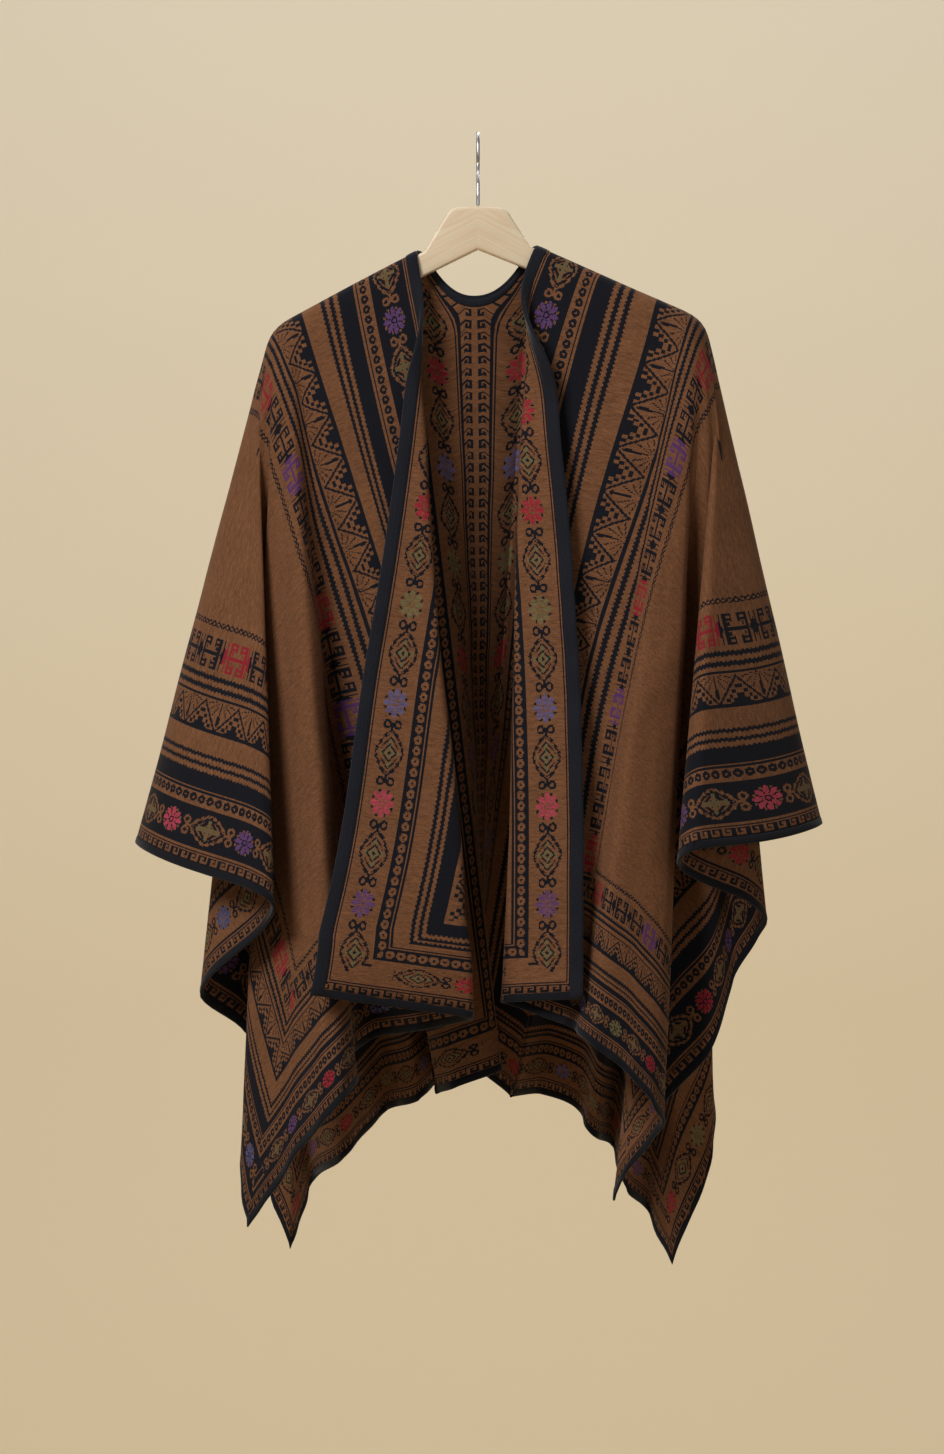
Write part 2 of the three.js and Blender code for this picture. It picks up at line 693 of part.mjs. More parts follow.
for (const [word, side] of [['left', LEFT], ['right', RIGHT]]) {
  const columns = frontColumns(side);
  addPiece(`cloth_front_${word}`, clothWall(columns), cloth);
  addPiece(`edging_front_${word}`, edgingWall(columns), tape);
  addPiece(`binding_front_${word}`, openingTape(side), tape);
  addPiece(`hanger_arm_${word}`, hangerArm(side), wood);
}
const back = backColumns();
addPiece('cloth_back', clothWall(back), cloth);
addPiece('edging_back', edgingWall(back), tape);
addPiece('binding_neck', neckTape(), tape);
addPiece('hanger_hook', hookWire(), chrome);

export default cape;
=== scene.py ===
"""An open-front blanket cape in double-faced jacquard, hung on a wooden hanger with a chrome hook.

Sizes are in millimetres until a mesh is made, and then in metres. The frame is the CAD model's: +Z up, the
open front towards -Y, and the origin where the hook rests on its rail.
"""

import math

import bmesh
import bpy
import numpy as np
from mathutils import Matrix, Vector


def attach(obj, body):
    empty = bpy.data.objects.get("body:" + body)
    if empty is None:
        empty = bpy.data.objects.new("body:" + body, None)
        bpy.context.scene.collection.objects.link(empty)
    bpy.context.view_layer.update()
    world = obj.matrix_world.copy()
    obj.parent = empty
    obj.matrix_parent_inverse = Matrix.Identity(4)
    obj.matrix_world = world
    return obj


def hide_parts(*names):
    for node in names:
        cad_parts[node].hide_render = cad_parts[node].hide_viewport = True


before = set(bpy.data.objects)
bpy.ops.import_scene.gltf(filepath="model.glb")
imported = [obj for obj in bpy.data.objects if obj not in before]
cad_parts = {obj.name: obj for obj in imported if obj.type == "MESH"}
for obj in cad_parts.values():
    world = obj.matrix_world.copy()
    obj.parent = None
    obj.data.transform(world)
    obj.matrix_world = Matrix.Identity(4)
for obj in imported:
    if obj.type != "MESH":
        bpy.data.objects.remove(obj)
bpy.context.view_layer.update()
MM = 0.001

# ---------------------------------------------------------------- the cut

HALF_WIDTH = 712
FRONT_LENGTH = 745
SLIT_HALF = 12
NECK_DEPTH = 60
CLOTH_THICK = 2.2
TAPE_THICK = 4.0
TAPE_WIDTH = 13
NECK_TAPE_WIDTH = 11
HEM_WIDTH = 7
HEM_THICK = 3.2

# ---------------------------------------------------------------- how the cloth bends

SHOULDER_BEND = 50
NECK_BEND = 16
FOLD_RUN = 200
FOLD_EASE = 0.75
BOW_EASE = 0.8
CROWN = 12
LAPEL_RADIUS = 6
LAPEL_OPENING = 160
LAPEL_ARC = math.pi * LAPEL_RADIUS / 2
LAPEL_MARGIN = 16
LAPEL_REACH = 85
NECK_SHARE = 44
NECK_SAG = np.array([-4.0, 11, -161])
NECK_SAG_POWER = 2.2
NECK_WRAP = 0.14
NECK_DROP = 1
NECK_STEP_IN = 6
JUST_BELOW_NECK = -0.15
PROBE = 0.5


class Side:
    """One half of the cape. A row of rays is a flat angle at the shoulder point (0 is straight out along the
    shoulder line, -90 down the front, 90 down the back) and the ray's tilts towards the centre and the back, in
    degrees. A row of the panel is a share of the ridge, from the neck on, and the same tilts."""

    def __init__(self, sign, neck, shoulder, back_length, lapel_angle, lapel_lift, lapel_bow, border_lean,
                 panel, rays):
        self.sign = sign
        self.neck = np.array(neck, float)
        self.shoulder = np.array(shoulder, float)
        self.back_length = back_length
        self.lapel_angle = math.radians(lapel_angle)
        self.lapel_lift = lapel_lift
        self.lapel_bow = lapel_bow
        self.border_lean = border_lean
        self.panel = Table(panel)
        self.rays = Table(rays)
        ridge = self.shoulder - self.neck
        self.ridge_length = float(np.linalg.norm(ridge))
        self.ridge = ridge / self.ridge_length
        self.shoulder_at = SLIT_HALF + self.ridge_length
        self.reach = HALF_WIDTH - self.shoulder_at


class Table:
    """Rows of (place, first value, second value), read by a cubic that is level at both ends."""

    def __init__(self, rows):
        rows = np.array(rows, float)
        self.at = rows[:, 0]
        self.values = rows[:, 1:]
        slopes = np.zeros_like(self.values)
        rise = self.values[2:] - self.values[:-2]
        slopes[1:-1] = FOLD_EASE * rise / (self.at[2:] - self.at[:-2])[:, None]
        self.slopes = slopes

    def read(self, x):
        x = np.clip(x, self.at[0], self.at[-1])
        i = np.clip(np.searchsorted(self.at, x, side="right") - 1, 0, len(self.at) - 2)
        span = (self.at[i + 1] - self.at[i])[..., None]
        k = (x - self.at[i])[..., None] / span
        return ((2 * k**3 - 3 * k**2 + 1) * self.values[i] + (k**3 - 2 * k**2 + k) * span * self.slopes[i]
                + (3 * k**2 - 2 * k**3) * self.values[i + 1] + (k**3 - k**2) * span * self.slopes[i + 1])


LEFT = Side(
    -1, (-60, 0, -117), (-184, 0, -183), 820, 12.6, 0.06, -17, 16,
    [(0, 16.1, -5), (1, 16.1, -5)],
    [(-90, 16.1, -5), (-85, 11, 2), (-80.5, 6.2, 7.2), (-77, 4.6, 5), (-71.5, 5.2, -1),
     (-68.5, 4.3, -3.4), (-65, 2.8, -2.6), (-60, 0.8, 0.4), (-50.5, -2.6, 4.8), (-47, -0.8, 7.2),
     (-44.5, 0.3, 9.5), (-41, -2.6, 9), (-37, -6.3, 5), (-26, 1, -3.5), (-22.5, 2.2, -7.2),
     (-19, 0.4, -8), (-6, -12.6, 0.2), (0, -15, 5), (6, -12.6, 10), (20, -2, 17), (30, 5.5, 19.5),
     (34, 7.8, 18), (37, 6.3, 16.2), (46, 0.5, 15.8), (50, -1.5, 14.2), (53, -1, 12), (55.7, 0.4, 11.5),
     (62, 1.6, 13.2), (68, 4, 8.5), (74, 7, 12), (80, 9.5, 8), (86, 11.3, 11), (90, 10.4, 3.5)],
)
RIGHT = Side(
    1, (59, 0, -112), (203, 0, -176), 850, 6.3, 0.3, 25, 48,
    [(0, 13.5, -1), (0.2, 12.5, -1), (0.55, 8.8, -1), (1, 9.5, -1)],
    [(-90, 9.5, -1), (-84, 8.8, -1), (-79, 7.8, -3), (-72, 5, -2), (-66, 2.9, -0.5), (-63.5, 2.3, 1.2),
     (-61, 3.2, 2.6), (-57, 5, 4), (-54, 5.9, 5.4), (-51.5, 5, 7.4), (-49, 3, 7.6), (-44.6, -0.8, 6.6),
     (-39, -2.6, 8.5), (-34, -5, 7.4), (-31, -5.8, 4.8), (-27.5, -4, 2.2), (-20.5, 4.4, -4.6),
     (-18, 5.3, -7.6), (-15, 3.4, -10.8), (-5, -10.8, -1.6), (0, -13.2, 2.5), (6, -10.8, 8),
     (20, 0, 14.5), (30, 6.5, 18), (34, 7.6, 16.3), (37, 6.2, 14.4), (43, 1.5, 13.6), (47, -1, 12.6),
     (50, -1.6, 10.8), (53, -1.5, 9.5), (57.5, 1, 9.3), (62, 2.4, 11.5), (66, 3.9, 9), (71, 4.8, 12.5),
     (76, 6.2, 9), (81, 7.2, 12), (86, 10, 12.5), (90, 12, 9)],
)
# Where the hem of the middle of the back ends up, as (place along the hem, x, depth).
BACK_PLEATS = [(-112, -23, 40), (-55, 22, 45), (0, 4, 103), (40, -6, 137), (75, -12, 160), (110, 2, 172)]


# ---------------------------------------------------------------- the drape

def smooth(x):
    k = np.clip(x, 0, 1)
    return k * k * (3 - 2 * k)


def unit(v):
    return v / np.maximum(np.linalg.norm(v, axis=-1, keepdims=True), 1e-9)


def vector(x, y, z):
    return np.stack(np.broadcast_arrays(x, y, z), axis=-1).astype(float)


def fallen(length, bend):
    """How far a strip that leaves a ridge level has turned down after a length, for a bend of one radius."""
    x = np.minimum(length / bend, 1)
    return bend * (x**3 - x**4 / 2) + np.maximum(length - bend, 0)


def hanging(side, tilt_in, tilt_back):
    a, b = np.radians(tilt_in), np.radians(tilt_back)
    return vector(-side.sign * np.sin(a) * np.cos(b), np.sin(b), -np.cos(a) * np.cos(b))


def ridge_point(side, s):
    return side.neck + side.ridge * (s - SLIT_HALF)[..., None]


def ridge_bend(side, s):
    return NECK_BEND + (SHOULDER_BEND - NECK_BEND) * np.clip((s - SLIT_HALF) / side.ridge_length, 0, 1)


def fan_point(side, s, t):
    """Past the shoulder point: rays that start level, turn down, and spread into folds."""
    out = s - side.shoulder_at
    length = np.hypot(out, t)
    angle = np.arctan2(t, out)
    flat = np.degrees(angle)
    start = side.rays.read(np.array(0.0))
    end = np.where((flat < 0)[..., None], side.rays.values[0], side.rays.values[-1])
    crown = np.sign(flat) * CROWN * np.sin(2 * np.abs(angle))
    plain_side = start[0] + (end[..., 0] - start[0]) * (1 - np.cos(angle))
    plain_depth = start[1] + (end[..., 1] - start[1]) * np.abs(flat) / 90 + crown
    plain = hanging(side, plain_side, plain_depth)
    rays = side.rays.read(flat)
    folded = hanging(side, rays[..., 0], rays[..., 1])
    level = side.ridge * np.cos(angle)[..., None] + vector(0, np.sin(angle), 0)
    down = fallen(length, SHOULDER_BEND)
    in_folds = fallen(length, FOLD_RUN)
    return (side.shoulder + level * (length - down)[..., None] + plain * (down - in_folds)[..., None]
            + folded * in_folds[..., None])


def bow_at(side, t):
    """How far the lapel's fold bows off its straight line."""
    return side.lapel_bow * np.sin(np.pi * np.clip(-t / FRONT_LENGTH, 0, 1) ** BOW_EASE)


def front_point(side, s, t):
    """The front, as if its opening edge weren't turned back."""
    top = ridge_point(side, np.minimum(s, side.shoulder_at))
    behind = top + vector(0, np.maximum(t, 0), 0)
    fall = np.maximum(-t, 0)
    down = fallen(fall, ridge_bend(side, s))
    tilt = side.panel.read((s - SLIT_HALF) / side.ridge_length)
    hung = top + vector(0, down - fall, 0) + hanging(side, tilt[..., 0], tilt[..., 1]) * down[..., None]
    bowed = 1 - smooth((s - LAPEL_REACH) / (side.shoulder_at - LAPEL_REACH))
    hung = hung - vector(side.sign * bow_at(side, t) * bowed, 0, 0)
    panel = np.where((t >= 0)[..., None], behind, hung)
    return np.where((s >= side.shoulder_at)[..., None], fan_point(side, s, t), panel)


def turned_point(side, s, t):
    """The front with its opening edge turned back along a line from the neck."""
    angle = side.lapel_angle
    from_bow = s - SLIT_HALF - bow_at(side, t)
    run = from_bow * np.sin(angle) - t * np.cos(angle)
    inside = from_bow * np.cos(angle) + t * np.sin(angle)
    opened = smooth(run / LAPEL_OPENING)
    turn = np.pi * opened
    half = turn * LAPEL_RADIUS / 2
    past = -inside
    theta = np.clip(past + half, 0, turn * LAPEL_RADIUS) / LAPEL_RADIUS
    beyond = np.maximum(past - half, 0)
    across = half - LAPEL_RADIUS * np.sin(theta) - beyond * np.cos(turn)
    forward = LAPEL_RADIUS * (1 - np.cos(theta)) + beyond * np.sin(turn)

    def on_fold(distance):
        fold_s = SLIT_HALF + run * np.sin(angle) + distance * np.cos(angle)
        fold_t = np.minimum(-run * np.cos(angle) + distance * np.sin(angle), 0)
        return front_point(side, fold_s + bow_at(side, fold_t), fold_t)

    foot = on_fold(0 * run)
    edge_top = front_point(side, np.array(float(SLIT_HALF)), np.array(JUST_BELOW_NECK))
    tangent = unit(foot - edge_top)
    outward = vector(side.sign, 0, 0) - side.sign * tangent * tangent[..., :1]
    outward[..., 1] = 0
    outward = unit(outward)
    plane = foot + outward * across[..., None]
    blend = (smooth((past + half) / (2 * half + 1)) * opened)[..., None]
    lifted = forward + side.lapel_lift * beyond * opened
    turned = on_fold(across) * (1 - blend) + plane * blend - vector(0, lifted, 0)
    flat = (inside >= half) | (t > 0)
    return np.where(flat[..., None], front_point(side, s, t), turned)


def centre_rows():
    """The middle of the back's hem, from shoulder point to shoulder point."""
    def end(side):
        tilt_in, tilt_back = side.rays.values[-1]
        hang = hanging(side, tilt_in, tilt_back) * (side.back_length - SHOULDER_BEND / 2)
        return side.sign * side.shoulder_at, side.shoulder[0] + hang[0], SHOULDER_BEND / 2 + hang[1]
    return Table([end(LEFT), *BACK_PLEATS, end(RIGHT)])


CENTRE = centre_rows()


def back_length_at(along):
    k = (along + LEFT.shoulder_at) / (LEFT.shoulder_at + RIGHT.shoulder_at)
    return LEFT.back_length + (RIGHT.back_length - LEFT.back_length) * k


def ruling_top(along):
    """Where the rulings of the back start: on the ridge, or on the neck edge near the centre."""
    right = along >= 0
    sign = np.where(right, RIGHT.sign, LEFT.sign)
    shoulder_at = np.where(right, RIGHT.shoulder_at, LEFT.shoulder_at)
    ridge_length = np.where(right, RIGHT.ridge_length, LEFT.ridge_length)
    neck = np.where(right[..., None], RIGHT.neck, LEFT.neck)
    ridge = np.where(right[..., None], RIGHT.ridge, LEFT.ridge)
    distance = np.abs(along)
    k = np.maximum(distance - NECK_SHARE, 0) / (shoulder_at - NECK_SHARE)
    on_ridge = neck + ridge * (ridge_length * k)[..., None]
    u = np.minimum(distance / NECK_SHARE, 1)
    edge = u * (SLIT_HALF + NECK_DEPTH)
    wrap = np.minimum((1 - u) / NECK_WRAP, 1)
    inward = np.minimum(u / (1 - NECK_WRAP), 1)
    on_neck = vector(
        NECK_SAG[0] + (neck[..., 0] - sign * NECK_STEP_IN * wrap - NECK_SAG[0]) * inward,
        NECK_SAG[1] * smooth(wrap),
        NECK_SAG[2] + (neck[..., 2] - NECK_DROP * wrap - NECK_SAG[2]) * inward**NECK_SAG_POWER,
    )
    outside = distance >= NECK_SHARE
    point = np.where(outside[..., None], on_ridge, on_neck)
    bend_out = NECK_BEND + (SHOULDER_BEND - NECK_BEND) * k
    bend = np.where(outside, bend_out, 1 + (NECK_BEND - 1) * (1 - smooth(wrap)))
    start = np.where(outside, 0, NECK_DEPTH - np.maximum(edge - SLIT_HALF, 0))
    s = np.where(outside, SLIT_HALF + ridge_length * k, np.minimum(edge, SLIT_HALF))
    return point, bend, start, s


def back_point(along, length):
    top, bend, start, _ = ruling_top(along)
    full = back_length_at(along) - start - bend / 2
    place = CENTRE.read(along)
    x = place[..., 0] - top[..., 0]
    y = place[..., 1] - top[..., 1] - bend / 2
    hang = vector(x, y, -np.sqrt(full**2 - x**2 - y**2)) / full[..., None]
    down = fallen(np.maximum(length, 0), bend)
    return top + vector(0, length - down, 0) + hang * down[..., None]


def with_normals(read, u, v, flip):
    along_u = read(u + PROBE, v) - read(u - PROBE, v)
    along_v = read(u, v + PROBE) - read(u, v - PROBE)
    return read(u, v), flip * unit(np.cross(along_u, along_v))


def on_side(side, s, t):
    """Points and outward normals of a front, or of the cloth past a shoulder point."""
    return with_normals(lambda u, v: turned_point(side, u, v), s, t, side.sign)


# ---------------------------------------------------------------- the blanket as one welded sheet

ROWS = 58
ROW_EASE = 1.15
COLUMN_STEP = 9.2
FIRST_RAY = 82
EDGE_TUCK = 2
FIRST_COLUMN = SLIT_HALF + 3
LAPEL_COLUMNS = 8
FOLD_COLUMNS = 8
PANEL_COLUMNS = 16
BACK_OPEN_FADE = 90
LEAN_DOWN = 480
LEAN_ACROSS = 60
NECK_SETTLE = 45
NECK_SETTLE_OUT = 60


def column_rows():
    return np.linspace(0, 1, ROWS + 1) ** ROW_EASE


def shares(steps):
    return np.arange(steps) / steps


def front_lines(side):
    """Flat places on the columns between the opening edge and the first ray: arrays of s and t."""
    down = column_rows() * (FRONT_LENGTH - EDGE_TUCK)
    slope = math.tan(side.lapel_angle)
    fold = np.maximum(SLIT_HALF + bow_at(side, -down) + down * slope, FIRST_COLUMN + LAPEL_MARGIN)
    ray = side.shoulder_at + down / math.tan(math.radians(FIRST_RAY))
    columns = []
    for share in shares(LAPEL_COLUMNS):
        columns.append(FIRST_COLUMN + (fold - LAPEL_ARC - FIRST_COLUMN) * share)
    for share in shares(FOLD_COLUMNS):
        columns.append(fold + LAPEL_ARC * (2 * share - 1))
    for share in shares(PANEL_COLUMNS):
        columns.append(fold + LAPEL_ARC + (ray - fold - LAPEL_ARC) * share)
    s = np.array(columns)
    return s, np.broadcast_to(-down, s.shape)


def outer_edge(side, facing, length, first_angle):
    """Places round one quarter of the blanket's outer edge, from the first ray's end to the shoulder line,
    with the way out at each: rows of s, t, outward s, outward t."""
    start = side.shoulder_at + length / math.tan(math.radians(first_angle))
    hem_steps = int((HALF_WIDTH - start) / COLUMN_STEP)
    side_steps = int(length / COLUMN_STEP)
    rows = [(s, facing * length, 0, facing) for s in np.linspace(start, HALF_WIDTH, hem_steps + 1)[:-1]]
    rows.append((HALF_WIDTH, facing * length, 1, facing))
    rows += [(HALF_WIDTH, facing * t, 1, 0) for t in np.linspace(length, 0, side_steps + 1)[1:]]
    return np.array(rows)


def fan_lines(side, facing, length, first_angle):
    edge = outer_edge(side, facing, length, first_angle)
    end_s = edge[:, 0] - edge[:, 2] * EDGE_TUCK
    end_t = edge[:, 1] - edge[:, 3] * EDGE_TUCK
    f = column_rows()
    return side.shoulder_at + np.outer(end_s - side.shoulder_at, f), np.outer(end_t, f)


def back_alongs(side):
    """The hem places of the rulings that start on the ridge, in step with the front's columns."""
    tops = front_lines(side)[0][:, 0]
    share = (tops - SLIT_HALF) / side.ridge_length
    return side.sign * (NECK_SHARE + (side.shoulder_at - NECK_SHARE) * share)


NECK_RULINGS = np.array([0, .08, .16, .25, .34, .43, .52, .6, .68, .76, .83, .88, .92, .96, 1]) * NECK_SHARE


class Sheet:
    """Gathers patches of a sheet, welds their points and closes the sheet into a thin wall."""

    def __init__(self):
        self.keys = {}
        self.points, self.normals, self.cuts, self.flats, self.faces = [], [], [], [], []

    def vertex(self, point, normal, cut, flat):
        key = tuple(np.round(point, 2) + 0.0)
        if key not in self.keys:
            self.keys[key] = len(self.points)
            self.points.append(point)
            self.normals.append(normal)
            self.cuts.append(cut)
            self.flats.append(flat)
        return self.keys[key]

    def patch(self, points, normals, cuts, flats):
        wide, tall = points.shape[:2]
        ids = np.array([[self.vertex(points[i, j], normals[i, j], cuts[i, j], flats[i, j])
                         for j in range(tall)] for i in range(wide)])
        for i in range(wide - 1):
            for j in range(tall - 1):
                ring = [ids[i, j], ids[i + 1, j], ids[i + 1, j + 1], ids[i, j + 1]]
                ring = [v for k, v in enumerate(ring) if v != ring[k - 1]]
                if len(ring) < 3:
                    continue
                a, b, c = (self.points[v] for v in (ring[0], ring[1], ring[-1]))
                if np.dot(np.cross(b - a, c - a), self.normals[ring[0]]) < 0:
                    ring.reverse()
                self.faces.append(ring)

    def wall(self, name, thickness, bulge, materials):
        """A closed mesh: the outer layer has the first material and the inner layer the second."""
        points, normals = np.array(self.points), np.array(self.normals)
        count = len(points)
        middle = points + normals * bulge(self)[:, None]
        layers = np.vstack([middle + normals * thickness / 2, middle - normals * thickness / 2]) * MM
        used = {}
        for ring in self.faces:
            for k, b in enumerate(ring):
                used[(ring[k - 1], b)] = used.get((ring[k - 1], b), 0) + 1
        rim = [(a, b) for a, b in used if (b, a) not in used]
        faces = list(self.faces) + [[v + count for v in reversed(ring)] for ring in self.faces]
        faces += [[b, a, a + count, b + count] for a, b in rim]
        mesh = bpy.data.meshes.new(name)
        mesh.from_pydata(layers.tolist(), [], [[int(v) for v in ring] for ring in faces])
        slots = np.ones(len(faces), int)
        slots[:len(self.faces)] = 0
        mesh.polygons.foreach_set("material_index", slots)
        cut = mesh.attributes.new("cut", "FLOAT_VECTOR", "POINT")
        cut.data.foreach_set("vector", (np.vstack([self.cuts, self.cuts]) * MM).ravel())
        write_uv(mesh, np.vstack([self.flats, self.flats]) * MM)
        return add_piece(name, mesh, materials)


def write_uv(mesh, flats):
    corners = np.zeros(len(mesh.loops), int)
    mesh.loops.foreach_get("vertex_index", corners)
    uv = mesh.uv_layers.new(name="cloth")
    uv.data.foreach_set("uv", flats[corners].ravel())


def add_piece(name, mesh, materials):
    for material in materials:
        mesh.materials.append(material)
    mesh.polygons.foreach_set("use_smooth", [True] * len(mesh.polygons))
    mesh.update()
    piece = bpy.data.objects.new(name, mesh)
    bpy.context.scene.collection.objects.link(piece)
    return piece


def add_front(sheet, side):
    """Lines and fan together, so that the strip between the last line and the first ray is woven in."""
    s, t = (np.vstack(pair) for pair in zip(front_lines(side), fan_lines(side, -1, FRONT_LENGTH, FIRST_RAY)))
    place, normal = on_side(side, s, t)
    lean = side.border_lean * smooth(-t / LEAN_DOWN) * smooth((s - LAPEL_REACH) / LEAN_ACROSS)
    add_patch(sheet, side, place, normal, s, t, FRONT_LENGTH + t, s + lean)


def add_patch(sheet, side, place, normal, s, t, from_hem, woven_s=None):
    """Adds a patch with its pattern. woven_s is where the opening's border is woven, where that isn't s."""
    woven_s = s if woven_s is None else woven_s
    from_open = np.maximum(woven_s - SLIT_HALF * (1 - smooth(t / BACK_OPEN_FADE)), 0)
    cuts = np.stack([from_open, HALF_WIDTH - s, from_hem], axis=-1)
    flats = np.stack([side.sign * s, t], axis=-1)
    sheet.patch(place, normal, cuts, flats)


def add_back(sheet):
    for side in (LEFT, RIGHT):
        s, t = fan_lines(side, 1, side.back_length, 90)
        place, normal = on_side(side, s, t)
        add_patch(sheet, side, place, normal, s, t, side.back_length - t)
    for side in (LEFT, RIGHT):
        along = np.concatenate([side.sign * NECK_RULINGS, back_alongs(side)])
        full = back_length_at(along) - ruling_top(along)[2]
        length = np.outer(full - EDGE_TUCK, column_rows())
        along = np.broadcast_to(along[:, None], length.shape)
        place, normal = with_normals(back_point, along, length, 1)
        _, _, start, top_s = ruling_top(along)
        s = top_s + (np.abs(along) - top_s) * length / full[:, None]
        outside = np.clip((np.abs(along) - NECK_SHARE) / NECK_SETTLE_OUT, 0, 1)
        settle = NECK_SETTLE + outside * (full[:, None] - NECK_SETTLE)
        woven_s = top_s + (np.abs(along) - top_s) * np.clip(length / settle, 0, 1)
        add_patch(sheet, side, place, normal, s, start + length, full[:, None] - length, woven_s)
        join_to_fan(sheet, side, place[-1], normal[-1], s[-1], (start + length)[-1])


def join_to_fan(sheet, side, place, normal, s, t):
    """The strip between the last ruling beside the shoulder point and the fan's first ray."""
    ray_s, ray_t = (lines[:1] for lines in fan_lines(side, 1, side.back_length, 90))
    ray_place, ray_normal = on_side(side, ray_s, ray_t)
    both_s, both_t = np.vstack([s[None], ray_s]), np.vstack([t[None], ray_t])
    places, normals = np.concatenate([place[None], ray_place]), np.concatenate([normal[None], ray_normal])
    add_patch(sheet, side, places, normals, both_s, both_t, side.back_length - both_t)


# ---------------------------------------------------------------- tapes along the edges

SECTION_SIDES = 0.55
SECTION_FACES = 0.7
OPENING_STATIONS = 190
NECK_STATIONS = 30
HEM_STATIONS = 60
BACK_HEM_STATIONS = 100
HEM_OVERHANG = 0.8
HEM_CORNER_ROOM = 1.5


def rounded_section(around, half_thick):
    """A flattened ring of (share across, height) pairs round a tape's section."""
    ring = []
    for k in range(around):
        angle = 2 * math.pi * k / around
        c, s = math.cos(angle), math.sin(angle)
        share = 0.5 - 0.5 * math.copysign(abs(c) ** SECTION_SIDES, c)
        ring.append((share, math.copysign(abs(s) ** SECTION_FACES, s) * half_thick))
    return ring


def tube_faces(stations, around):
    """The faces between neighbouring rings of a tube."""
    faces = []
    for i in range(stations - 1):
        for k in range(around):
            n = (k + 1) % around
            faces.append([i * around + k, i * around + n, (i + 1) * around + n, (i + 1) * around + k])
    return faces


def tape(name, place_at, along, thickness, material, around=14):
    """A soft flat tape. place_at(share) gives the point and normal of every station at a share across it, and
    along says how far along the tape each station is."""
    rings = []
    for share, lift in rounded_section(around, thickness / 2):
        point, normal = place_at(share)
        rings.append(point + normal * lift)
    verts = np.stack(rings, axis=1).reshape(-1, 3) * MM
    count = len(along)
    first, last = list(range(around)), list(range((count - 1) * around, count * around))
    mesh = bpy.data.meshes.new(name)
    mesh.from_pydata(verts.tolist(), [], tube_faces(count, around) + [first[::-1], last])
    flats = np.zeros((count, around, 2))
    flats[..., 0] = along[:, None]
    flats[..., 1] = np.arange(around) / around * 2 * TAPE_WIDTH
    write_uv(mesh, flats.reshape(-1, 2) * MM)
    turn_outwards(mesh)
    return add_piece(name, mesh, [material])


def turn_outwards(mesh):
    """Turns every face of a closed mesh round where its faces point in."""
    work = bmesh.new()
    work.from_mesh(mesh)
    bmesh.ops.recalc_face_normals(work, faces=work.faces)
    work.to_mesh(mesh)
    work.free()


def opening_tape(name, side, material):
    t = -np.linspace(FRONT_LENGTH, 0, OPENING_STATIONS)

    def place_at(share):
        s = np.full_like(t, SLIT_HALF + TAPE_WIDTH * share)
        return raised(side, s, t, on_side(side, s, t))

    return tape(name, place_at, t, TAPE_THICK, material)


def neck_tape(name, material):
    over_ridge = np.linspace(1, 0, 6)[:-1] * TAPE_WIDTH
    ends = [NECK_SHARE + (side.shoulder_at - NECK_SHARE) * over_ridge / side.ridge_length
            for side in (LEFT, RIGHT)]
    half = NECK_SHARE * np.linspace(1, 0, NECK_STATIONS) ** 1.4
    along = np.concatenate([-ends[0], -half[:-1], half[::-1], ends[1][::-1]])

    def place_at(share):
        return with_normals(back_point, along, np.full_like(along, -1 + (NECK_TAPE_WIDTH + 1) * share), 1)

    return tape(name, place_at, along, TAPE_THICK, material)


def hem_tape(name, material):
    """The edging, from the left opening round the side, the back and the right side to the right opening."""
    width = HEM_WIDTH + HEM_CORNER_ROOM

    def quarter(side, facing, length, first_angle):
        rows = outer_edge(side, facing, length, first_angle)
        corner = np.array([HALF_WIDTH, facing * length])
        near = np.hypot(*(rows[:, :2] - corner).T) < width
        return rows[~near | (rows[:, 2] * rows[:, 3] != 0)]

    def half(side):
        first_ray = side.shoulder_at + FRONT_LENGTH / math.tan(math.radians(FIRST_RAY))
        front_hem = np.linspace(SLIT_HALF, first_ray, HEM_STATIONS)
        opening = np.array([(s, -FRONT_LENGTH, 0, -1) for s in front_hem[:-1]])
        front = quarter(side, -1, FRONT_LENGTH, FIRST_RAY)
        back = quarter(side, 1, side.back_length, 90)[::-1]
        return side, np.vstack([opening, front, back[1:]])

    halves = [half(LEFT), half(RIGHT)]
    along = np.linspace(-LEFT.shoulder_at, RIGHT.shoulder_at, BACK_HEM_STATIONS)[1:-1]

    def place_at(share):
        inset = width * share - HEM_OVERHANG
        found = []
        for side, rows in halves:
            s, t = rows[:, 0] - rows[:, 2] * inset, rows[:, 1] - rows[:, 3] * inset
            found.append(raised(side, s, t, on_side(side, s, t)))
        start = ruling_top(along)[2]
        length = back_length_at(along) - start - inset
        point, normal = with_normals(back_point, along, length, 1)
        cuts = np.stack([np.abs(along), HALF_WIDTH - np.abs(along), 0 * along + inset], axis=-1)
        middle = point + normal * stand_off(along, start + length, cuts, point[:, 2])[:, None], normal
        return tuple(np.concatenate([found[0][k], middle[k], found[1][k][::-1]]) for k in (0, 1))

    points = place_at(0)[0]
    run = np.concatenate([[0], np.cumsum(np.linalg.norm(np.diff(points, axis=0), axis=1))])
    return tape(name, place_at, run, HEM_THICK, material, around=10)


# ---------------------------------------------------------------- the hanger

WOOD_THICK = 11
WOOD_ROUND = 3
ARM_REACH = 203
ARM_DEPTH = 22
ARM_TIP_DEPTH = 15
ARM_TIP_ROUND = 26
ARM_BELOW_CLOTH = 2.4
HUMP_TOP = -72
HUMP_HALF = 29
CROTCH = -115
JOINT_HALF = 0.15
WIRE = 3.6
HOOK_RADIUS = 20


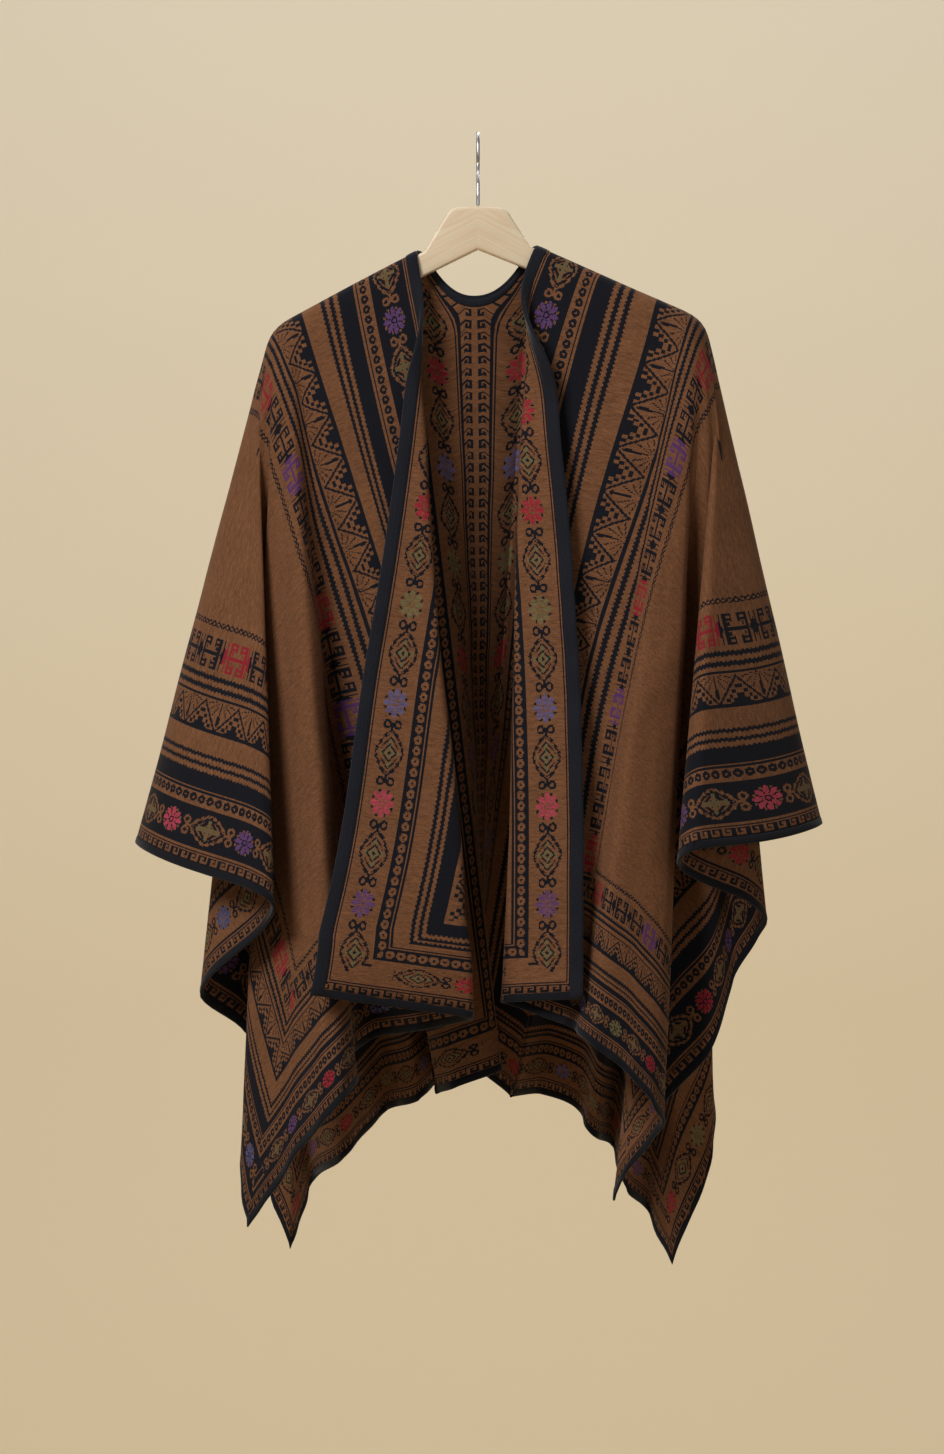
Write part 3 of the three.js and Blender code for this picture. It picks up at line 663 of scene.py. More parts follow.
def arc(points, steps):
    """A quadratic curve through its first and last point, pulled to the middle one."""
    a, b, c = (np.array(p, float) for p in points)
    k = np.linspace(0, 1, steps)[:, None]
    return list((1 - k) ** 2 * a + 2 * k * (1 - k) * b + k**2 * c)


def arm_outline(side):
    ridge = side.ridge[[0, 2]]
    neck = side.neck[[0, 2]]
    below = unit(np.array([side.sign * side.ridge[2], -abs(side.ridge[0])]))
    reach = (ARM_REACH - abs(neck[0])) / abs(ridge[0])
    deep = ARM_BELOW_CLOTH

    def top(distance, depth):
        return neck + ridge * distance + below * depth

    centre = side.sign * JOINT_HALF
    tip_top, tip_corner = top(reach - ARM_TIP_ROUND, deep), top(reach, deep + 0.5)
    tip_middle = top(reach, deep + ARM_TIP_DEPTH / 2 + 2)
    tip_low = top(reach, ARM_TIP_DEPTH + deep)
    tip_bottom = top(reach - ARM_TIP_ROUND / 2, ARM_TIP_DEPTH + deep)
    shoulder = [(side.sign * HUMP_HALF * 0.7, HUMP_TOP - 0.8), (side.sign * HUMP_HALF, HUMP_TOP - 1),
                (side.sign * (HUMP_HALF + 4), HUMP_TOP - 10)]
    points = [np.array((centre, CROTCH)), np.array((centre, HUMP_TOP)), *arc(shoulder, 9), top(-6, deep)]
    points += [*arc((tip_top, tip_corner, tip_middle), 9), *arc((tip_middle, tip_low, tip_bottom), 9)[1:]]
    return points + [top(6, ARM_DEPTH + deep)]


def in_the_joint(edge, side):
    return all(abs(v.co.x - side.sign * JOINT_HALF * MM) < 1e-6 for v in edge.verts)


def hanger_arm(name, side, material):
    """One mitred half of the hanger, with its long edges rounded over."""
    outline = arm_outline(side)
    work = bmesh.new()
    front = [work.verts.new((x * MM, -WOOD_THICK / 2 * MM, z * MM)) for x, z in outline]
    face = work.faces.new(front)
    made = bmesh.ops.extrude_face_region(work, geom=[face])
    moved = [v for v in made["geom"] if isinstance(v, bmesh.types.BMVert)]
    bmesh.ops.translate(work, verts=moved, vec=(0, WOOD_THICK * MM, 0))
    long_edges = [e for e in work.edges
                  if abs(e.verts[0].co.y - e.verts[1].co.y) < 1e-6 and not in_the_joint(e, side)]
    bmesh.ops.bevel(work, geom=long_edges, offset=WOOD_ROUND * MM, segments=5, profile=0.5, affect="EDGES",
                    clamp_overlap=True)
    bmesh.ops.triangulate(work, faces=[f for f in work.faces if len(f.verts) > 4])
    bmesh.ops.recalc_face_normals(work, faces=work.faces)
    mesh = bpy.data.meshes.new(name)
    work.to_mesh(mesh)
    work.free()
    piece = add_piece(name, mesh, [material])
    mesh.set_sharp_from_angle(angle=math.radians(35))
    return piece


def swept(name, points, radius, material, around=20):
    """A round wire along points, with domed ends."""
    points = np.array(points, float)
    ways = unit(np.gradient(points, axis=0))
    ups = unit(np.cross(ways, (1.0, 0, 0)))
    rights = np.cross(ways, ups)
    turn = np.linspace(0, 2 * math.pi, around, endpoint=False)[:, None]

    def ring(k, share=1.0, lift=0.0):
        """The ring at point k, at a share of the radius, and lifted along the wire by a share of it."""
        round_point = share * (np.cos(turn) * ups[k] + np.sin(turn) * rights[k])
        return points[k] + radius * (round_point + lift * ways[k])

    rings = [ring(0, 0.5, -0.87), ring(0, 0.87, -0.5)]
    rings += [ring(k) for k in range(len(points))]
    rings += [ring(-1, 0.87, 0.5), ring(-1, 0.5, 0.87)]
    tips = [points[0] - ways[0] * radius, points[-1] + ways[-1] * radius]
    verts = np.vstack([*rings, tips]) * MM
    last = (len(rings) - 1) * around
    first_tip, last_tip = len(verts) - 2, len(verts) - 1
    faces = tube_faces(len(rings), around)
    faces += [[first_tip, (k + 1) % around, k] for k in range(around)]
    faces += [[last_tip, last + k, last + (k + 1) % around] for k in range(around)]
    mesh = bpy.data.meshes.new(name)
    mesh.from_pydata(verts.tolist(), [], faces)
    turn_outwards(mesh)
    return add_piece(name, mesh, [material])


def hook_points():
    line = HOOK_RADIUS + WIRE / 2
    stem = [(0, 0, HUMP_TOP + 0.3 + h) for h in (WIRE / 2, 4, 8, 12)] + [(0, 1.2, HUMP_TOP + 18)]
    loop = []
    for degrees in range(-48, 205, 6):
        angle = math.radians(degrees)
        loop.append((0, line * math.cos(angle), -HOOK_RADIUS + line * math.sin(angle)))
    return catmull(stem + [(0, 3.4, HUMP_TOP + 25)] + loop, 3)


def catmull(points, steps):
    p = np.array(points, float)
    p = np.vstack([2 * p[0] - p[1], p, 2 * p[-1] - p[-2]])
    out = []
    for i in range(1, len(p) - 2):
        for k in np.linspace(0, 1, steps, endpoint=False):
            out.append(0.5 * (2 * p[i] + (p[i + 1] - p[i - 1]) * k
                              + (2 * p[i - 1] - 5 * p[i] + 4 * p[i + 1] - p[i + 2]) * k**2
                              + (3 * p[i] - p[i - 1] - 3 * p[i + 1] + p[i + 2]) * k**3))
    return out + [p[-2]]


# ---------------------------------------------------------------- shader maths

def joined_by(operation):
    """A method that joins values by one Math node."""
    def method(self, *others):
        return self.math(operation, *others)
    return method


class Shade:
    """A value that varies over a surface. Python's operators add the Math nodes that work it out."""

    def __init__(self, surface, socket):
        self.surface = surface
        self.socket = socket

    def math(self, operation, *others):
        values = dict(enumerate((self, *others)))
        return self.surface.node("ShaderNodeMath", {"operation": operation}, values)

    def __rsub__(self, other):
        return self.surface.number(other).math("SUBTRACT", self)

    __add__ = __radd__ = joined_by("ADD")
    __sub__ = joined_by("SUBTRACT")
    __mul__ = __rmul__ = __and__ = joined_by("MULTIPLY")
    __truediv__ = joined_by("DIVIDE")
    __mod__ = joined_by("FLOORED_MODULO")
    __pow__ = joined_by("POWER")
    __lt__ = joined_by("LESS_THAN")
    __gt__ = joined_by("GREATER_THAN")
    __abs__ = joined_by("ABSOLUTE")
    __or__ = high = joined_by("MAXIMUM")
    low = joined_by("MINIMUM")
    near = joined_by("COMPARE")
    floor = joined_by("FLOOR")
    sin = joined_by("SINE")
    cos = joined_by("COSINE")
    arctan2 = joined_by("ARCTAN2")

    def between(self, low, high):
        return self.near((low + high) / 2, (high - low) / 2)

    def snap(self, step):
        return self.math("SNAP", step) + step / 2

    def through(self, places):
        """A line through (place, value) pairs, straight between them."""
        slopes = [(b[1] - a[1]) / (b[0] - a[0]) for a, b in zip(places, places[1:])]
        line = (self - places[0][0]) * slopes[0] + places[0][1]
        for (place, _), before, after in zip(places[1:], slopes, slopes[1:]):
            line = line + (self - place).high(0) * (after - before)
        return line


class Surface:
    """A material's node tree."""

    def __init__(self, name):
        self.material = bpy.data.materials.new(name)
        self.material.use_nodes = True
        self.tree = self.material.node_tree
        self.tree.nodes.clear()

    def node(self, kind, settings, inputs, output=0):
        """Adds a node, with its settings first and then the values or links of its sockets."""
        node = self.tree.nodes.new(kind)
        for key, value in settings.items():
            if key == "stops":
                set_stops(node.color_ramp, value)
            else:
                setattr(node, key, value)
        for key, value in inputs.items():
            socket = node.inputs[key]
            if isinstance(value, Shade):
                self.tree.links.new(value.socket, socket)
            else:
                socket.default_value = value
        return Shade(self, node.outputs[output])

    def number(self, value):
        return self.node("ShaderNodeMath", {"operation": "ADD"}, {0: float(value), 1: 0.0})

    def blend(self, a, b, share):
        return self.node("ShaderNodeMix", {"data_type": "FLOAT"}, {0: share, 2: a, 3: b})

    def tint(self, a, b, share, mode="MIX"):
        settings = {"data_type": "RGBA", "blend_type": mode}
        inputs = {0: share, 6: as_colour(a), 7: as_colour(b)}
        return self.node("ShaderNodeMix", settings, inputs, 2)

    def split(self, vector):
        return [self.node("ShaderNodeSeparateXYZ", {}, {0: vector}, i) for i in range(3)]

    def object_coordinates(self):
        return self.node("ShaderNodeTexCoord", {}, {}, "Object")

    def noise(self, vector, scale, detail=2.0, distortion=0.0):
        inputs = {"Vector": vector, "Scale": scale, "Detail": detail, "Distortion": distortion}
        return self.node("ShaderNodeTexNoise", {}, inputs)

    def scaled(self, vector, scale):
        return self.node("ShaderNodeVectorMath", {"operation": "MULTIPLY"}, {0: vector, 1: scale})

    def bump(self, height, strength, distance):
        inputs = {"Height": height, "Strength": strength, "Distance": distance}
        return self.node("ShaderNodeBump", {}, inputs)

    def finish(self, **sockets):
        shader = self.tree.nodes.new("ShaderNodeBsdfPrincipled")
        for key, value in sockets.items():
            socket = shader.inputs[key.replace("_", " ")]
            if isinstance(value, Shade):
                self.tree.links.new(value.socket, socket)
            else:
                socket.default_value = value
        output = self.tree.nodes.new("ShaderNodeOutputMaterial")
        self.tree.links.new(shader.outputs[0], output.inputs[0])
        return self.material


def as_colour(value):
    return value if isinstance(value, Shade) else (*value, 1)


def set_stops(ramp, stops):
    ramp.interpolation = "CONSTANT"
    while len(ramp.elements) > 1:
        ramp.elements.remove(ramp.elements[-1])
    for k, colour in enumerate(stops):
        element = ramp.elements[0] if k == 0 else ramp.elements.new(k / len(stops))
        element.position = k / len(stops)
        element.color = (*colour, 1)


def srgb(*values):
    """A colour given as 0-255 screen values, for the shaders."""
    shares_of_white = [v / 255 for v in values]
    return tuple(v / 12.92 if v <= 0.04045 else ((v + 0.055) / 1.055) ** 2.4 for v in shares_of_white)


# ---------------------------------------------------------------- the jacquard

# Places across the border, as (distance from the edge as woven here, distance in the full-size border).
OPENING_SCALE = [(0, 8), (13, 19.4), (15.2, 21), (16.8, 23.2), (54, 68), (56, 70), (67, 84), (71, 88),
                 (300, 317)]
HEM_SCALE = [(0, 0), (6.5, 8), (16, 20.5), (17.5, 23), (42, 68), (43, 70), (55, 84), (58, 88), (62.5, 107),
             (66, 112), (68, 117), (71, 122), (75, 127), (88, 148), (138, 234), (300, 513)]
SIDE_SHARE = 0.9
HEM_SHARE = 1.03
SIDE_PHASE = -470
HEM_PHASE = -32
STITCH = 1.25
FLOWER_PITCH = 97
FIRST_FLOWER = -68
PLAIN_FROM = 269
KEYS_END = 21
FLOWERS_END = 68
FLOWERS_MIDDLE = 45.5
CORNER_FREE = 76
RING_PITCH = 10.5
KEY_PITCH = 37
BLACK_BANDS = [(-9, 21), (23, 68), (84, 86), (88, 107), (112, 117), (122, 127), (148, 151), (186, 189),
               (195, 200), (206, 211)]

BROWN = srgb(134, 91, 63)
BLACK = srgb(27, 29, 37)
RED = srgb(164, 46, 60)
PINK = srgb(186, 74, 92)
PURPLE = srgb(104, 72, 118)
VIOLET = srgb(102, 96, 138)
OLIVE = srgb(118, 110, 76)
BLUE = srgb(70, 84, 128)
KEY_PURPLE = srgb(96, 60, 112)
KEY_RED = srgb(150, 42, 52)
FLOWERS = [PURPLE, PINK, VIOLET, OLIVE, RED, RED, PURPLE, OLIVE, RED, VIOLET, OLIVE, RED, PURPLE, BLUE, RED]


def bands(d, limits):
    total = None
    for low, high in limits:
        part = d.between(low, high)
        total = part if total is None else total + part
    return total


def flower(u, v):
    """Petals, and the dark slits and ring that part them."""
    r = (u * u + v * v) ** 0.5
    lobes = (v.arctan2(u) * 8).cos()
    petals = (r < lobes * 2.2 + 12) & ((r < 4.4) | (lobes > -0.75)) & (1 - r.between(2.0, 3.8))
    tips = r.between(11, 14) & (lobes < -0.72)
    return petals, tips


def medallion(u, v):
    """A scalloped lozenge with a curl at each side of both ends: its lines, and its olive filling."""
    au, av = abs(u), abs(v)
    size = (au / 22) ** 1.35 + (av / 16.5) ** 1.35
    scallop = ((au + av * 0.4) % 4.8 > 2.4) * 0.1
    rim = (size + scallop).between(0.9, 1.12)
    curl_u, curl_v = au - 27.5, av - 6
    r = (curl_u * curl_u + curl_v * curl_v) ** 0.5
    curls = r.between(2.3, 4.8) | (au.between(21, 29) & (av < 1.4))
    inside = size < 0.62
    twigs = ((au + av) % 7 < 2.4) & inside
    leaves = inside & ((av < 2.6) | (au < 2.2) | r.between(13.5, 16))
    return rim | curls | twigs, leaves & (1 - twigs)


def key_row(a, d):
    """The small key pattern beside the edge, as the lines that show in the other colour."""
    u = a % 12
    upright = u.between(0, 2) & d.between(10, 19)
    hook = (d.between(10, 12) & u.between(0, 8)) | (u.between(6, 8) & d.between(10, 15.5))
    return upright | hook | (d.between(14, 16) & u.between(4, 8)) | d.between(17.5, 19.5)


def zigzag(a, d):
    """Peaks with nested stepped arches below them and fine rays above."""
    u = abs(a % 44 - 22)
    y = d - 151
    from_line = y - (1 - u / 22) * 31
    stepped = from_line + (u.snap(3.6) - u) * 1.4
    rays = ((22 - u).arctan2(35 - y) % 0.42 < 0.08) & (from_line > 6)
    arches = stepped.between(-10.5, -6.5) | (stepped < -15.5)
    return rays | (abs(from_line - 0.6) < 2.1) | arches | y.between(0, 2)


def key_squares(a, d):
    """Hooked key figures, mirrored from square to square."""
    u = abs(a % KEY_PITCH - KEY_PITCH / 2)
    y = abs(d - 234)
    upright = u.between(9, 12.5) & (y < 17.5)
    bar = (y < 2.2) & (u < 12.5)
    hooks = (y.between(14.5, 17.5) & u.between(3.4, 12.5)) | (u.between(2.6, 5) & y.between(7, 17.5))
    keys = (y.between(9.5, 11.5) & u.between(5, 9)) | (u.between(6.4, 8) & y.between(4, 7))
    between = ((KEY_PITCH / 2 - u) * 0.9 + y * 0.5 < 5.2) | (u.between(15.2, 16.6) & (y < 17.5))
    return upright | bar | hooks | keys | between


def chain(a, d):
    """Two fine waves that cross."""
    wave = (a * (2 * math.pi / 13)).sin() * 2.4
    y = d - 265.5
    return (abs(y - wave) < 1.1) | (abs(y + wave) < 1.1)


def stitched(cloth, vector):
    """The parts of a vector in millimetres, in steps of one stitch."""
    return [(v * 1000).snap(STITCH) for v in cloth.split(vector)]


def border_places(cloth, flat):
    """How far across the border and along it a stitch lies, and whether the row of flowers runs there."""
    cut = cloth.node("ShaderNodeAttribute", {"attribute_name": "cut"}, {}, "Vector")
    from_open, from_side, from_hem = stitched(cloth, cut)
    s, t, _ = stitched(cloth, flat)
    d_open = from_open.through(OPENING_SCALE)
    d_side = from_side / SIDE_SHARE
    d_hem = from_hem.through(HEM_SCALE)
    across = d_open.low(d_side).low(d_hem)
    hem_keys = (d_hem < KEYS_END) & (d_open > KEYS_END) & (d_side > KEYS_END)
    by_open = ((d_open < FLOWERS_END) | (d_open < across + 0.01)) & (1 - hem_keys)
    by_side = (1 - by_open) & (1 - hem_keys) & ((d_side < FLOWERS_END) | (d_side < across + 0.01))
    along_side = t / SIDE_SHARE + SIDE_PHASE
    along_hem = abs(s) / HEM_SHARE + HEM_PHASE
    along = cloth.blend(cloth.blend(along_hem, along_side, by_side), t, by_open)
    in_row = across.between(KEYS_END + 2, FLOWERS_END) & (by_open | by_side | (from_open > CORNER_FREE))
    return across, along, in_row


def black_lines(across, along):
    """What is black on the outer face, before the flowers and the key squares."""
    toothed = across.between(104, 130) + across.between(192, 213)
    black = bands(across + ((along % 4.6) > 2.3) * toothed * 1.5, BLACK_BANDS)
    ring_u, ring_v = along % RING_PITCH - RING_PITCH / 2, across - 77
    ring = (ring_u * ring_u + ring_v * ring_v) ** 0.5
    black = black + across.between(70, 84) * ring.between(1.4, 4.6)
    black = black - key_row(along, across) * (across < KEYS_END)
    black = black + zigzag(along, across) * across.between(151, 186)
    return black + chain(along, across) * across.between(260, PLAIN_FROM + 2)


def flower_row(across, along, in_row):
    """Flowers and medallions by turns: petals, leaves, their lines, and the number of each flower."""
    steps = (along - FIRST_FLOWER) / FLOWER_PITCH
    number = (steps + 0.5).floor()
    from_flower = (steps - number) * FLOWER_PITCH
    from_medallion = (steps - steps.floor() - 0.5) * FLOWER_PITCH
    off_middle = across - FLOWERS_MIDDLE
    petals, tips = flower(from_flower, off_middle)
    lines, leaves = medallion(from_medallion, off_middle)
    petals = petals * in_row
    return petals, leaves * in_row, (lines | tips) * in_row * (1 - petals), number


def worn_wool(cloth, flat):
    """How light each bit of wool is, how much stray brown it has among the black, and how high it stands."""
    slant = cloth.node("ShaderNodeMapping", {},
                       {"Vector": flat, "Rotation": (0, 0, 0.62), "Scale": (160, 900, 1)})
    flecks = cloth.noise(flat, 900.0, 2.0)
    mottle = cloth.noise(flat, 24.0, 2.0)
    slub = cloth.noise(slant, 1.0, 2.0)
    streaks = cloth.noise(slant, 0.36, 2.0)
    wear = (flecks - 0.5) * 1.3 + (mottle - 0.5) * 0.3 + (slub - 0.5) * 1.2 + (streaks - 0.5) * 0.75 + 1
    specks = (cloth.noise(slant, 2.3, 1.0) > 0.66) * 0.45
    return wear, specks, flecks * 0.7 + slub * 0.6 + streaks * 0.4


def jacquard(name, inside_out):
    """The double-faced cloth. The inner face has the outer face's two main colours exchanged."""
    cloth = Surface(name)
    flat = cloth.node("ShaderNodeUVMap", {"uv_map": "cloth"}, {})
    across, along, in_row = border_places(cloth, flat)
    petals, leaves, lines, number = flower_row(across, along, in_row)
    squares = key_squares(along, across) * across.between(214, 254)
    square_number = (along / KEY_PITCH).floor() % 7
    red_square = square_number.near(5, 0.1)
    coloured = square_number.near(2, 0.1) + red_square
    black = black_lines(across, along) + squares * (1 - coloured) - lines
    if inside_out:
        black = 1 - black

    wear, specks, height = worn_wool(cloth, flat)
    plain = across > PLAIN_FROM
    brown = cloth.tint(BROWN, wear * 0.9, 1.0, "MULTIPLY")
    dark = cloth.tint(BLACK, BROWN, specks * (plain * 0.7 + 0.12))
    colour = cloth.tint(brown, dark, black.high(0).low(1))
    turn = ((number + 6) % len(FLOWERS) + 0.5) / len(FLOWERS)
    shades = cloth.node("ShaderNodeValToRGB", {"stops": FLOWERS}, {"Fac": turn})
    shades = cloth.tint(shades, wear, 1.0, "MULTIPLY")
    colour = cloth.tint(colour, shades, petals * 0.92)
    colour = cloth.tint(colour, OLIVE, leaves * 0.8)
    colour = cloth.tint(colour, cloth.tint(KEY_PURPLE, KEY_RED, red_square), squares * coloured)
    return cloth.finish(
        Base_Color=colour, Roughness=0.92, Specular_IOR_Level=0.12, Sheen_Weight=0.12, Sheen_Roughness=0.45,
        Sheen_Tint=(0.8, 0.66, 0.55, 1), Normal=cloth.bump(height, 0.35, 0.0008))


ROW_PITCH = 1.1


def rib_knit(name, colour, pitch, along_share):
    """Dark knitted tape with fine ribs."""
    knit = Surface(name)
    flat = knit.node("ShaderNodeUVMap", {"uv_map": "cloth"}, {})
    along, across, _ = knit.split(flat)
    rows = (along * (2000 * math.pi / ROW_PITCH)).sin() * along_share
    ribs = (across * (2000 * math.pi / pitch)).sin() * 0.5 + rows
    lint = knit.noise(flat, 1400.0, 2.0)
    colour = knit.tint(colour, tuple(c * 2.2 for c in colour), (lint - 0.45).high(0) * 1.6)
    return knit.finish(
        Base_Color=colour, Roughness=0.9, Specular_IOR_Level=0.15, Sheen_Weight=0.25, Sheen_Roughness=0.4,
        Normal=knit.bump(ribs * 0.6 + lint * 0.5, 0.4, 0.0006))


GRAIN_SLOPE = 0.53


def pale_wood():
    wood = Surface("pale_wood")
    place = wood.object_coordinates()
    x, y, z = wood.split(place)
    across = z + abs(x) * GRAIN_SLOPE
    along = abs(x) - z * GRAIN_SLOPE
    grain_place = wood.node("ShaderNodeCombineXYZ", {}, {0: along * 9, 1: y * 40, 2: across * 190})
    grain = wood.noise(grain_place, 1.0, 4.0, 0.6)
    fine = wood.noise(wood.scaled(grain_place, (3.0, 6.0, 5.0)), 1.0, 2.0)
    streak = (grain - 0.35) * 1.6 + (fine - 0.5) * 0.5
    colour = wood.tint(srgb(255, 238, 208), srgb(240, 201, 154), streak.high(0).low(1))
    return wood.finish(
        Base_Color=colour, Roughness=fine * 0.12 + 0.36, Coat_Weight=0.25, Coat_Roughness=0.25,
        Normal=wood.bump(grain, 0.12, 0.0006))


def bright_chrome():
    chrome = Surface("bright_chrome")
    marks = chrome.noise(chrome.object_coordinates(), 420.0, 3.0)
    return chrome.finish(Base_Color=(0.86, 0.86, 0.87, 1), Metallic=1.0, Roughness=marks * 0.1 + 0.3)


# ---------------------------------------------------------------- the soft relief of hanging cloth

# Creases: side, distance out, distance behind the shoulder line, length, width, depth, slope.
CREASES = [
    ("left", 165, -120, 95, 16, 2.4, 0.55), ("left", 205, -230, 130, 20, -2.2, 0.35),
    ("left", 250, -330, 110, 15, 2.0, 0.42), ("left", 330, -210, 120, 18, 2.2, -0.3),
    ("left", 420, -300, 140, 22, -2.0, -0.2), ("left", 300, -480, 150, 20, 1.8, 0.3),
    ("left", 130, -420, 120, 18, -1.8, 0.15), ("left", 520, -180, 130, 24, 2.2, -0.45),
    ("right", 175, -100, 90, 15, 2.4, 0.5), ("right", 220, -250, 120, 19, -2.2, 0.3),
    ("right", 300, -160, 110, 17, 2.1, -0.25), ("right", 270, -400, 140, 22, 1.9, 0.35),
    ("right", 390, -320, 120, 18, -2.1, -0.15), ("right", 460, -220, 140, 22, 2.2, -0.4),
    ("right", 140, -520, 130, 18, -1.7, 0.1), ("left", 150, 160, 130, 20, 2.6, 0.1),
    ("left", 60, 300, 150, 24, -2.4, -0.05), ("right", 110, 220, 140, 22, 2.6, 0.12),
    ("right", 60, 420, 160, 22, -2.2, 0.04), ("left", 320, 240, 130, 20, 2.4, 0.3),
    ("right", 350, 260, 130, 20, -2.4, -0.28), ("left", 450, 380, 150, 24, 2.2, 0.2),
    ("right", 480, 360, 150, 24, 2.2, -0.22), ("left", 240, 520, 140, 20, -2.2, -0.1),
    ("right", 250, 560, 140, 20, 2.0, 0.1),
]


EDGE_REACH = 24
CREASE_BOW = 9
CALM_FROM = -175
CALM_OVER = 90


def stand_off(s, t, cuts, z):
    """How far the cloth at a flat place stands off its drape. s is negative on the left half."""
    total = np.zeros(np.shape(s))
    for name, out, behind, long, wide, deep, slope in CREASES:
        sign = -1 if name == "left" else 1
        du, dv = s - sign * out, t - behind
        norm = math.hypot(1, slope)
        along, across = (dv + sign * slope * du) / norm, (du - sign * slope * dv) / norm
        bend = across - CREASE_BOW * np.sin(along / long * 2.2 + out)
        total += deep * np.exp(-(bend / wide) ** 2 - (along / long) ** 2)
    cuts = np.maximum(cuts, 0)
    edge = cuts.min(axis=-1)
    run = np.where(cuts[..., 2] <= np.minimum(cuts[..., 0], cuts[..., 1]), s, t)
    puckers = 0.9 * np.sin(run / 9.5 + 2 * np.sin(run / 61)) + 1.2 * np.sin(run / 23 + 1.2)
    total += np.exp(-edge / EDGE_REACH) * puckers
    total += 0.5 * np.sin(s / 37 + 1.7 * np.sin(t / 83)) * np.sin(t / 46 + 1.3 * np.sin(s / 71))
    beyond = np.abs(s) - np.where(s < 0, LEFT.shoulder_at, RIGHT.shoulder_at)
    angle = np.degrees(np.arctan2(np.abs(t), np.maximum(beyond, 0.01)))
    calm = np.where((beyond > 0) & (t < 0), 0.12 + 0.88 * smooth((angle - 36) / 22), 1)
    return total * calm * smooth((CALM_FROM - z) / CALM_OVER)


def relief(sheet):
    flats, cuts, points = np.array(sheet.flats), np.array(sheet.cuts), np.array(sheet.points)
    return stand_off(flats[:, 0], flats[:, 1], cuts, points[:, 2])


def raised(side, s, t, found):
    """Lifts the points of a tape on the front or the fan by what the cloth under them stands off."""
    point, normal = found
    length = np.where(t < 0, FRONT_LENGTH, side.back_length)
    cuts = np.stack([s - SLIT_HALF * (t < 0), HALF_WIDTH - s, length - np.abs(t)], axis=-1)
    return point + normal * stand_off(side.sign * s, t, cuts, point[..., 2])[..., None], normal


# ---------------------------------------------------------------- the whole object

def build():
    outer, inner = jacquard("jacquard_outer", False), jacquard("jacquard_inner", True)
    rib = rib_knit("rib_knit", srgb(32, 34, 42), 1.6, 0.25)
    edge = rib_knit("dark_edging", srgb(26, 27, 34), 1.3, 0.4)
    wood, chrome = pale_wood(), bright_chrome()

    sheet = Sheet()
    for side in (LEFT, RIGHT):
        add_front(sheet, side)
    add_back(sheet)
    cloth = sheet.wall("cape_cloth", CLOTH_THICK, relief, [outer, inner])
    tapes = [opening_tape("rib_front_left", LEFT, rib), opening_tape("rib_front_right", RIGHT, rib),
             neck_tape("rib_neck", rib), hem_tape("hem_edging", edge)]
    arms = [hanger_arm("wood_arm_left", LEFT, wood), hanger_arm("wood_arm_right", RIGHT, wood)]
    hook = swept("chrome_hook", hook_points(), WIRE / 2, chrome)

    for piece, slot, nodes in [
            (cloth, "jacquard_cloth", ["cloth_front_left", "cloth_front_right", "cloth_back"]),
            (tapes[0], "rib_binding", ["binding_front_left"]),
            (tapes[1], "rib_binding", ["binding_front_right"]),
            (tapes[2], "rib_binding", ["binding_neck"]),
            (tapes[3], "dark_edging", ["edging_front_left", "edging_front_right", "edging_back"]),
            (arms[0], "hanger_wood", ["hanger_arm_left"]), (arms[1], "hanger_wood", ["hanger_arm_right"]),
            (hook, "hook_chrome", ["hanger_hook"])]:
        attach(piece, "root")
        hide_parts(*nodes)


# ---------------------------------------------------------------- camera, light and backdrop

CAMERA_DISTANCE = 5.0
AIM = (-0.006, 0, -0.592)
VIEW_WIDTH = 0.944
SENSOR = 36


def make_camera():
    data = bpy.data.cameras.new("camera")
    data.sensor_fit = "HORIZONTAL"
    data.sensor_width = SENSOR
    data.lens = SENSOR * CAMERA_DISTANCE / VIEW_WIDTH
    data.clip_end = 60
    camera = bpy.data.objects.new("camera", data)
    camera.location = (AIM[0], -CAMERA_DISTANCE, AIM[2])
    camera.rotation_euler = (math.pi / 2, 0, 0)
    bpy.context.scene.collection.objects.link(camera)
    bpy.context.scene.camera = camera


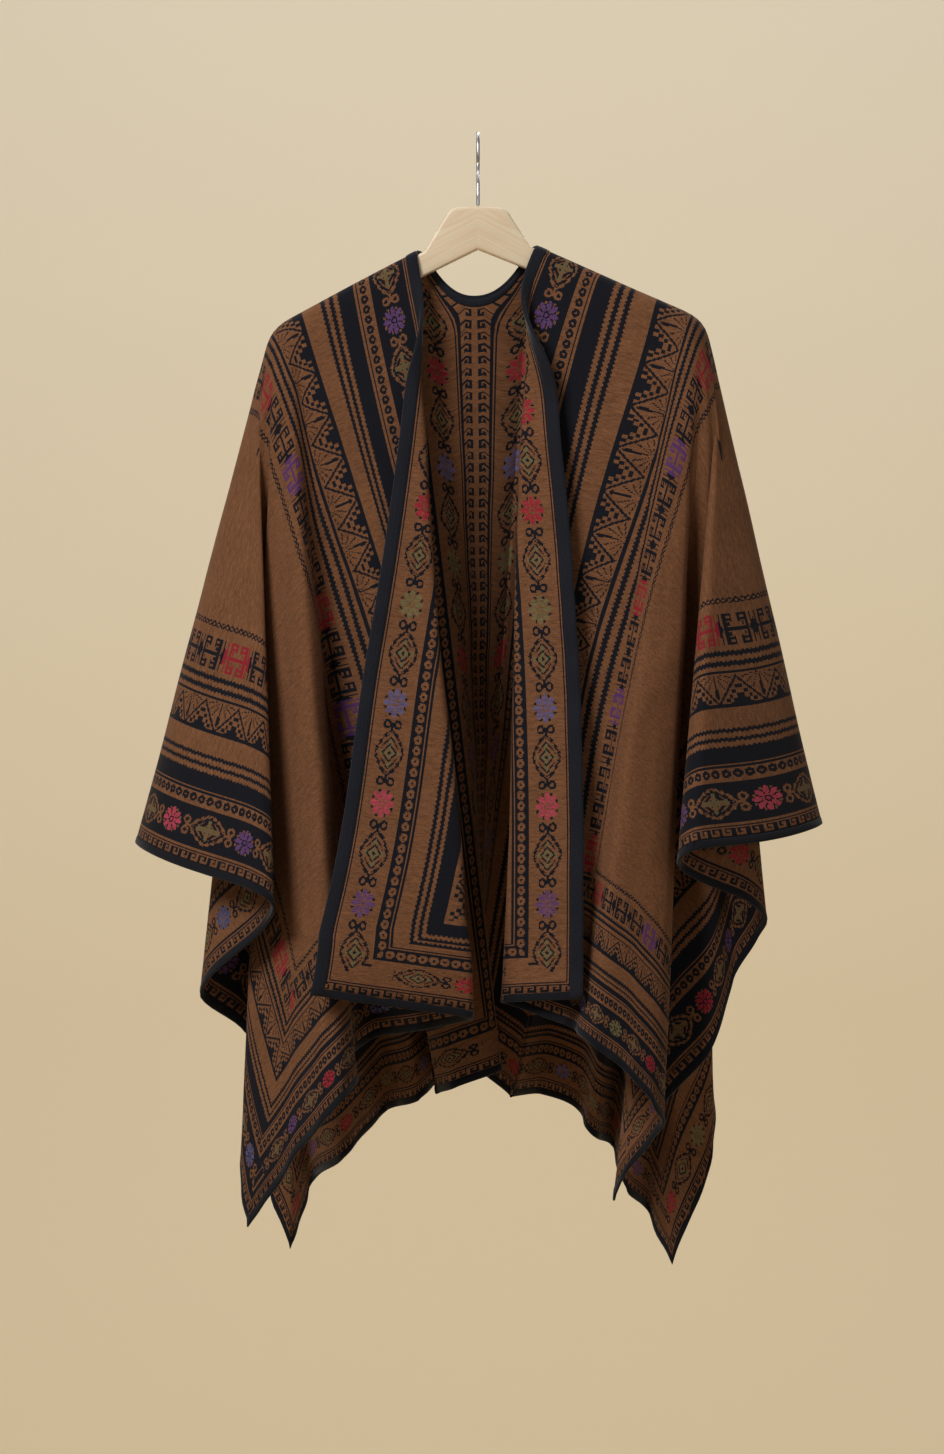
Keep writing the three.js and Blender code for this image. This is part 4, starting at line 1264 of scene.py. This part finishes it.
def area_light(name, place, target, size, power, colour=(1, 1, 1)):
    data = bpy.data.lights.new(name, "AREA")
    data.shape = "RECTANGLE"
    data.size, data.size_y = size
    data.energy = power
    data.color = colour
    light = bpy.data.objects.new(name, data)
    light.location = place
    way = Vector(target) - Vector(place)
    light.rotation_mode = "QUATERNION"
    light.rotation_quaternion = way.to_track_quat("-Z", "Y")
    bpy.context.scene.collection.objects.link(light)
    return light


def backdrop():
    """A wide pale sheet that curves from a far wall into a floor."""
    wall_y, floor_z, radius = 13.0, -3.6, 2.0
    profile = [(-14.0, floor_z), (wall_y - radius, floor_z)]
    for k in range(1, 16):
        a = k / 16 * math.pi / 2
        profile.append((wall_y - radius + radius * math.sin(a), floor_z + radius - radius * math.cos(a)))
    profile += [(wall_y, floor_z + radius), (wall_y, 6.0)]
    verts = [(x, y, z) for x in (-14, 14) for y, z in profile]
    count = len(profile)
    faces = [[k, k + 1, count + k + 1, count + k] for k in range(count - 1)]
    mesh = bpy.data.meshes.new("backdrop")
    mesh.from_pydata(verts, [], faces)
    paper = Surface("backdrop_paper")
    place = paper.object_coordinates()
    _, _, z = paper.split(place)
    # Painted shade: the paper's colour turns darker and yellower towards the bottom, with a faint random mottle
    # on top.
    painted_shade_and_mottle = (paper.noise(place, 0.25, 1.0) * 0.3 + z * -0.16 + 0.2).high(0).low(1)
    colour = paper.tint(srgb(223, 214, 194), srgb(225, 206, 171), painted_shade_and_mottle)
    pale_paper = paper.finish(Base_Color=colour, Roughness=0.95, Specular_IOR_Level=0.1)
    return add_piece("backdrop", mesh, [pale_paper])


def light_the_set():
    lights = [
        area_light("key", (-2.3, -3.3, 2.5), (0, 0, -0.6), (1.7, 1.7), 158, (1, 0.97, 0.94)),
        area_light("fill", (2.8, -3.2, 0.6), (0, 0, -0.7), (2.4, 2.4), 12, (1, 0.98, 0.97)),
        area_light("back_fill", (1.6, 4.6, 2.2), (0, 0, -0.5), (2.4, 2.4), 26, (1, 0.98, 0.96)),
        area_light("wall_wash", (0.0, 3.0, 5.0), (0, 13, -3.0), (7.0, 3.0), 880, (1, 0.98, 0.95)),
    ]
    world = bpy.data.worlds.new("studio")
    world.use_nodes = True
    background = world.node_tree.nodes["Background"]
    background.inputs[0].default_value = (0.9, 0.88, 0.84, 1)
    background.inputs[1].default_value = 0.12
    bpy.context.scene.world = world
    bpy.context.scene.view_settings.view_transform = "Standard"
    return lights


build()
make_camera()
backdrop()
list(light_the_set())
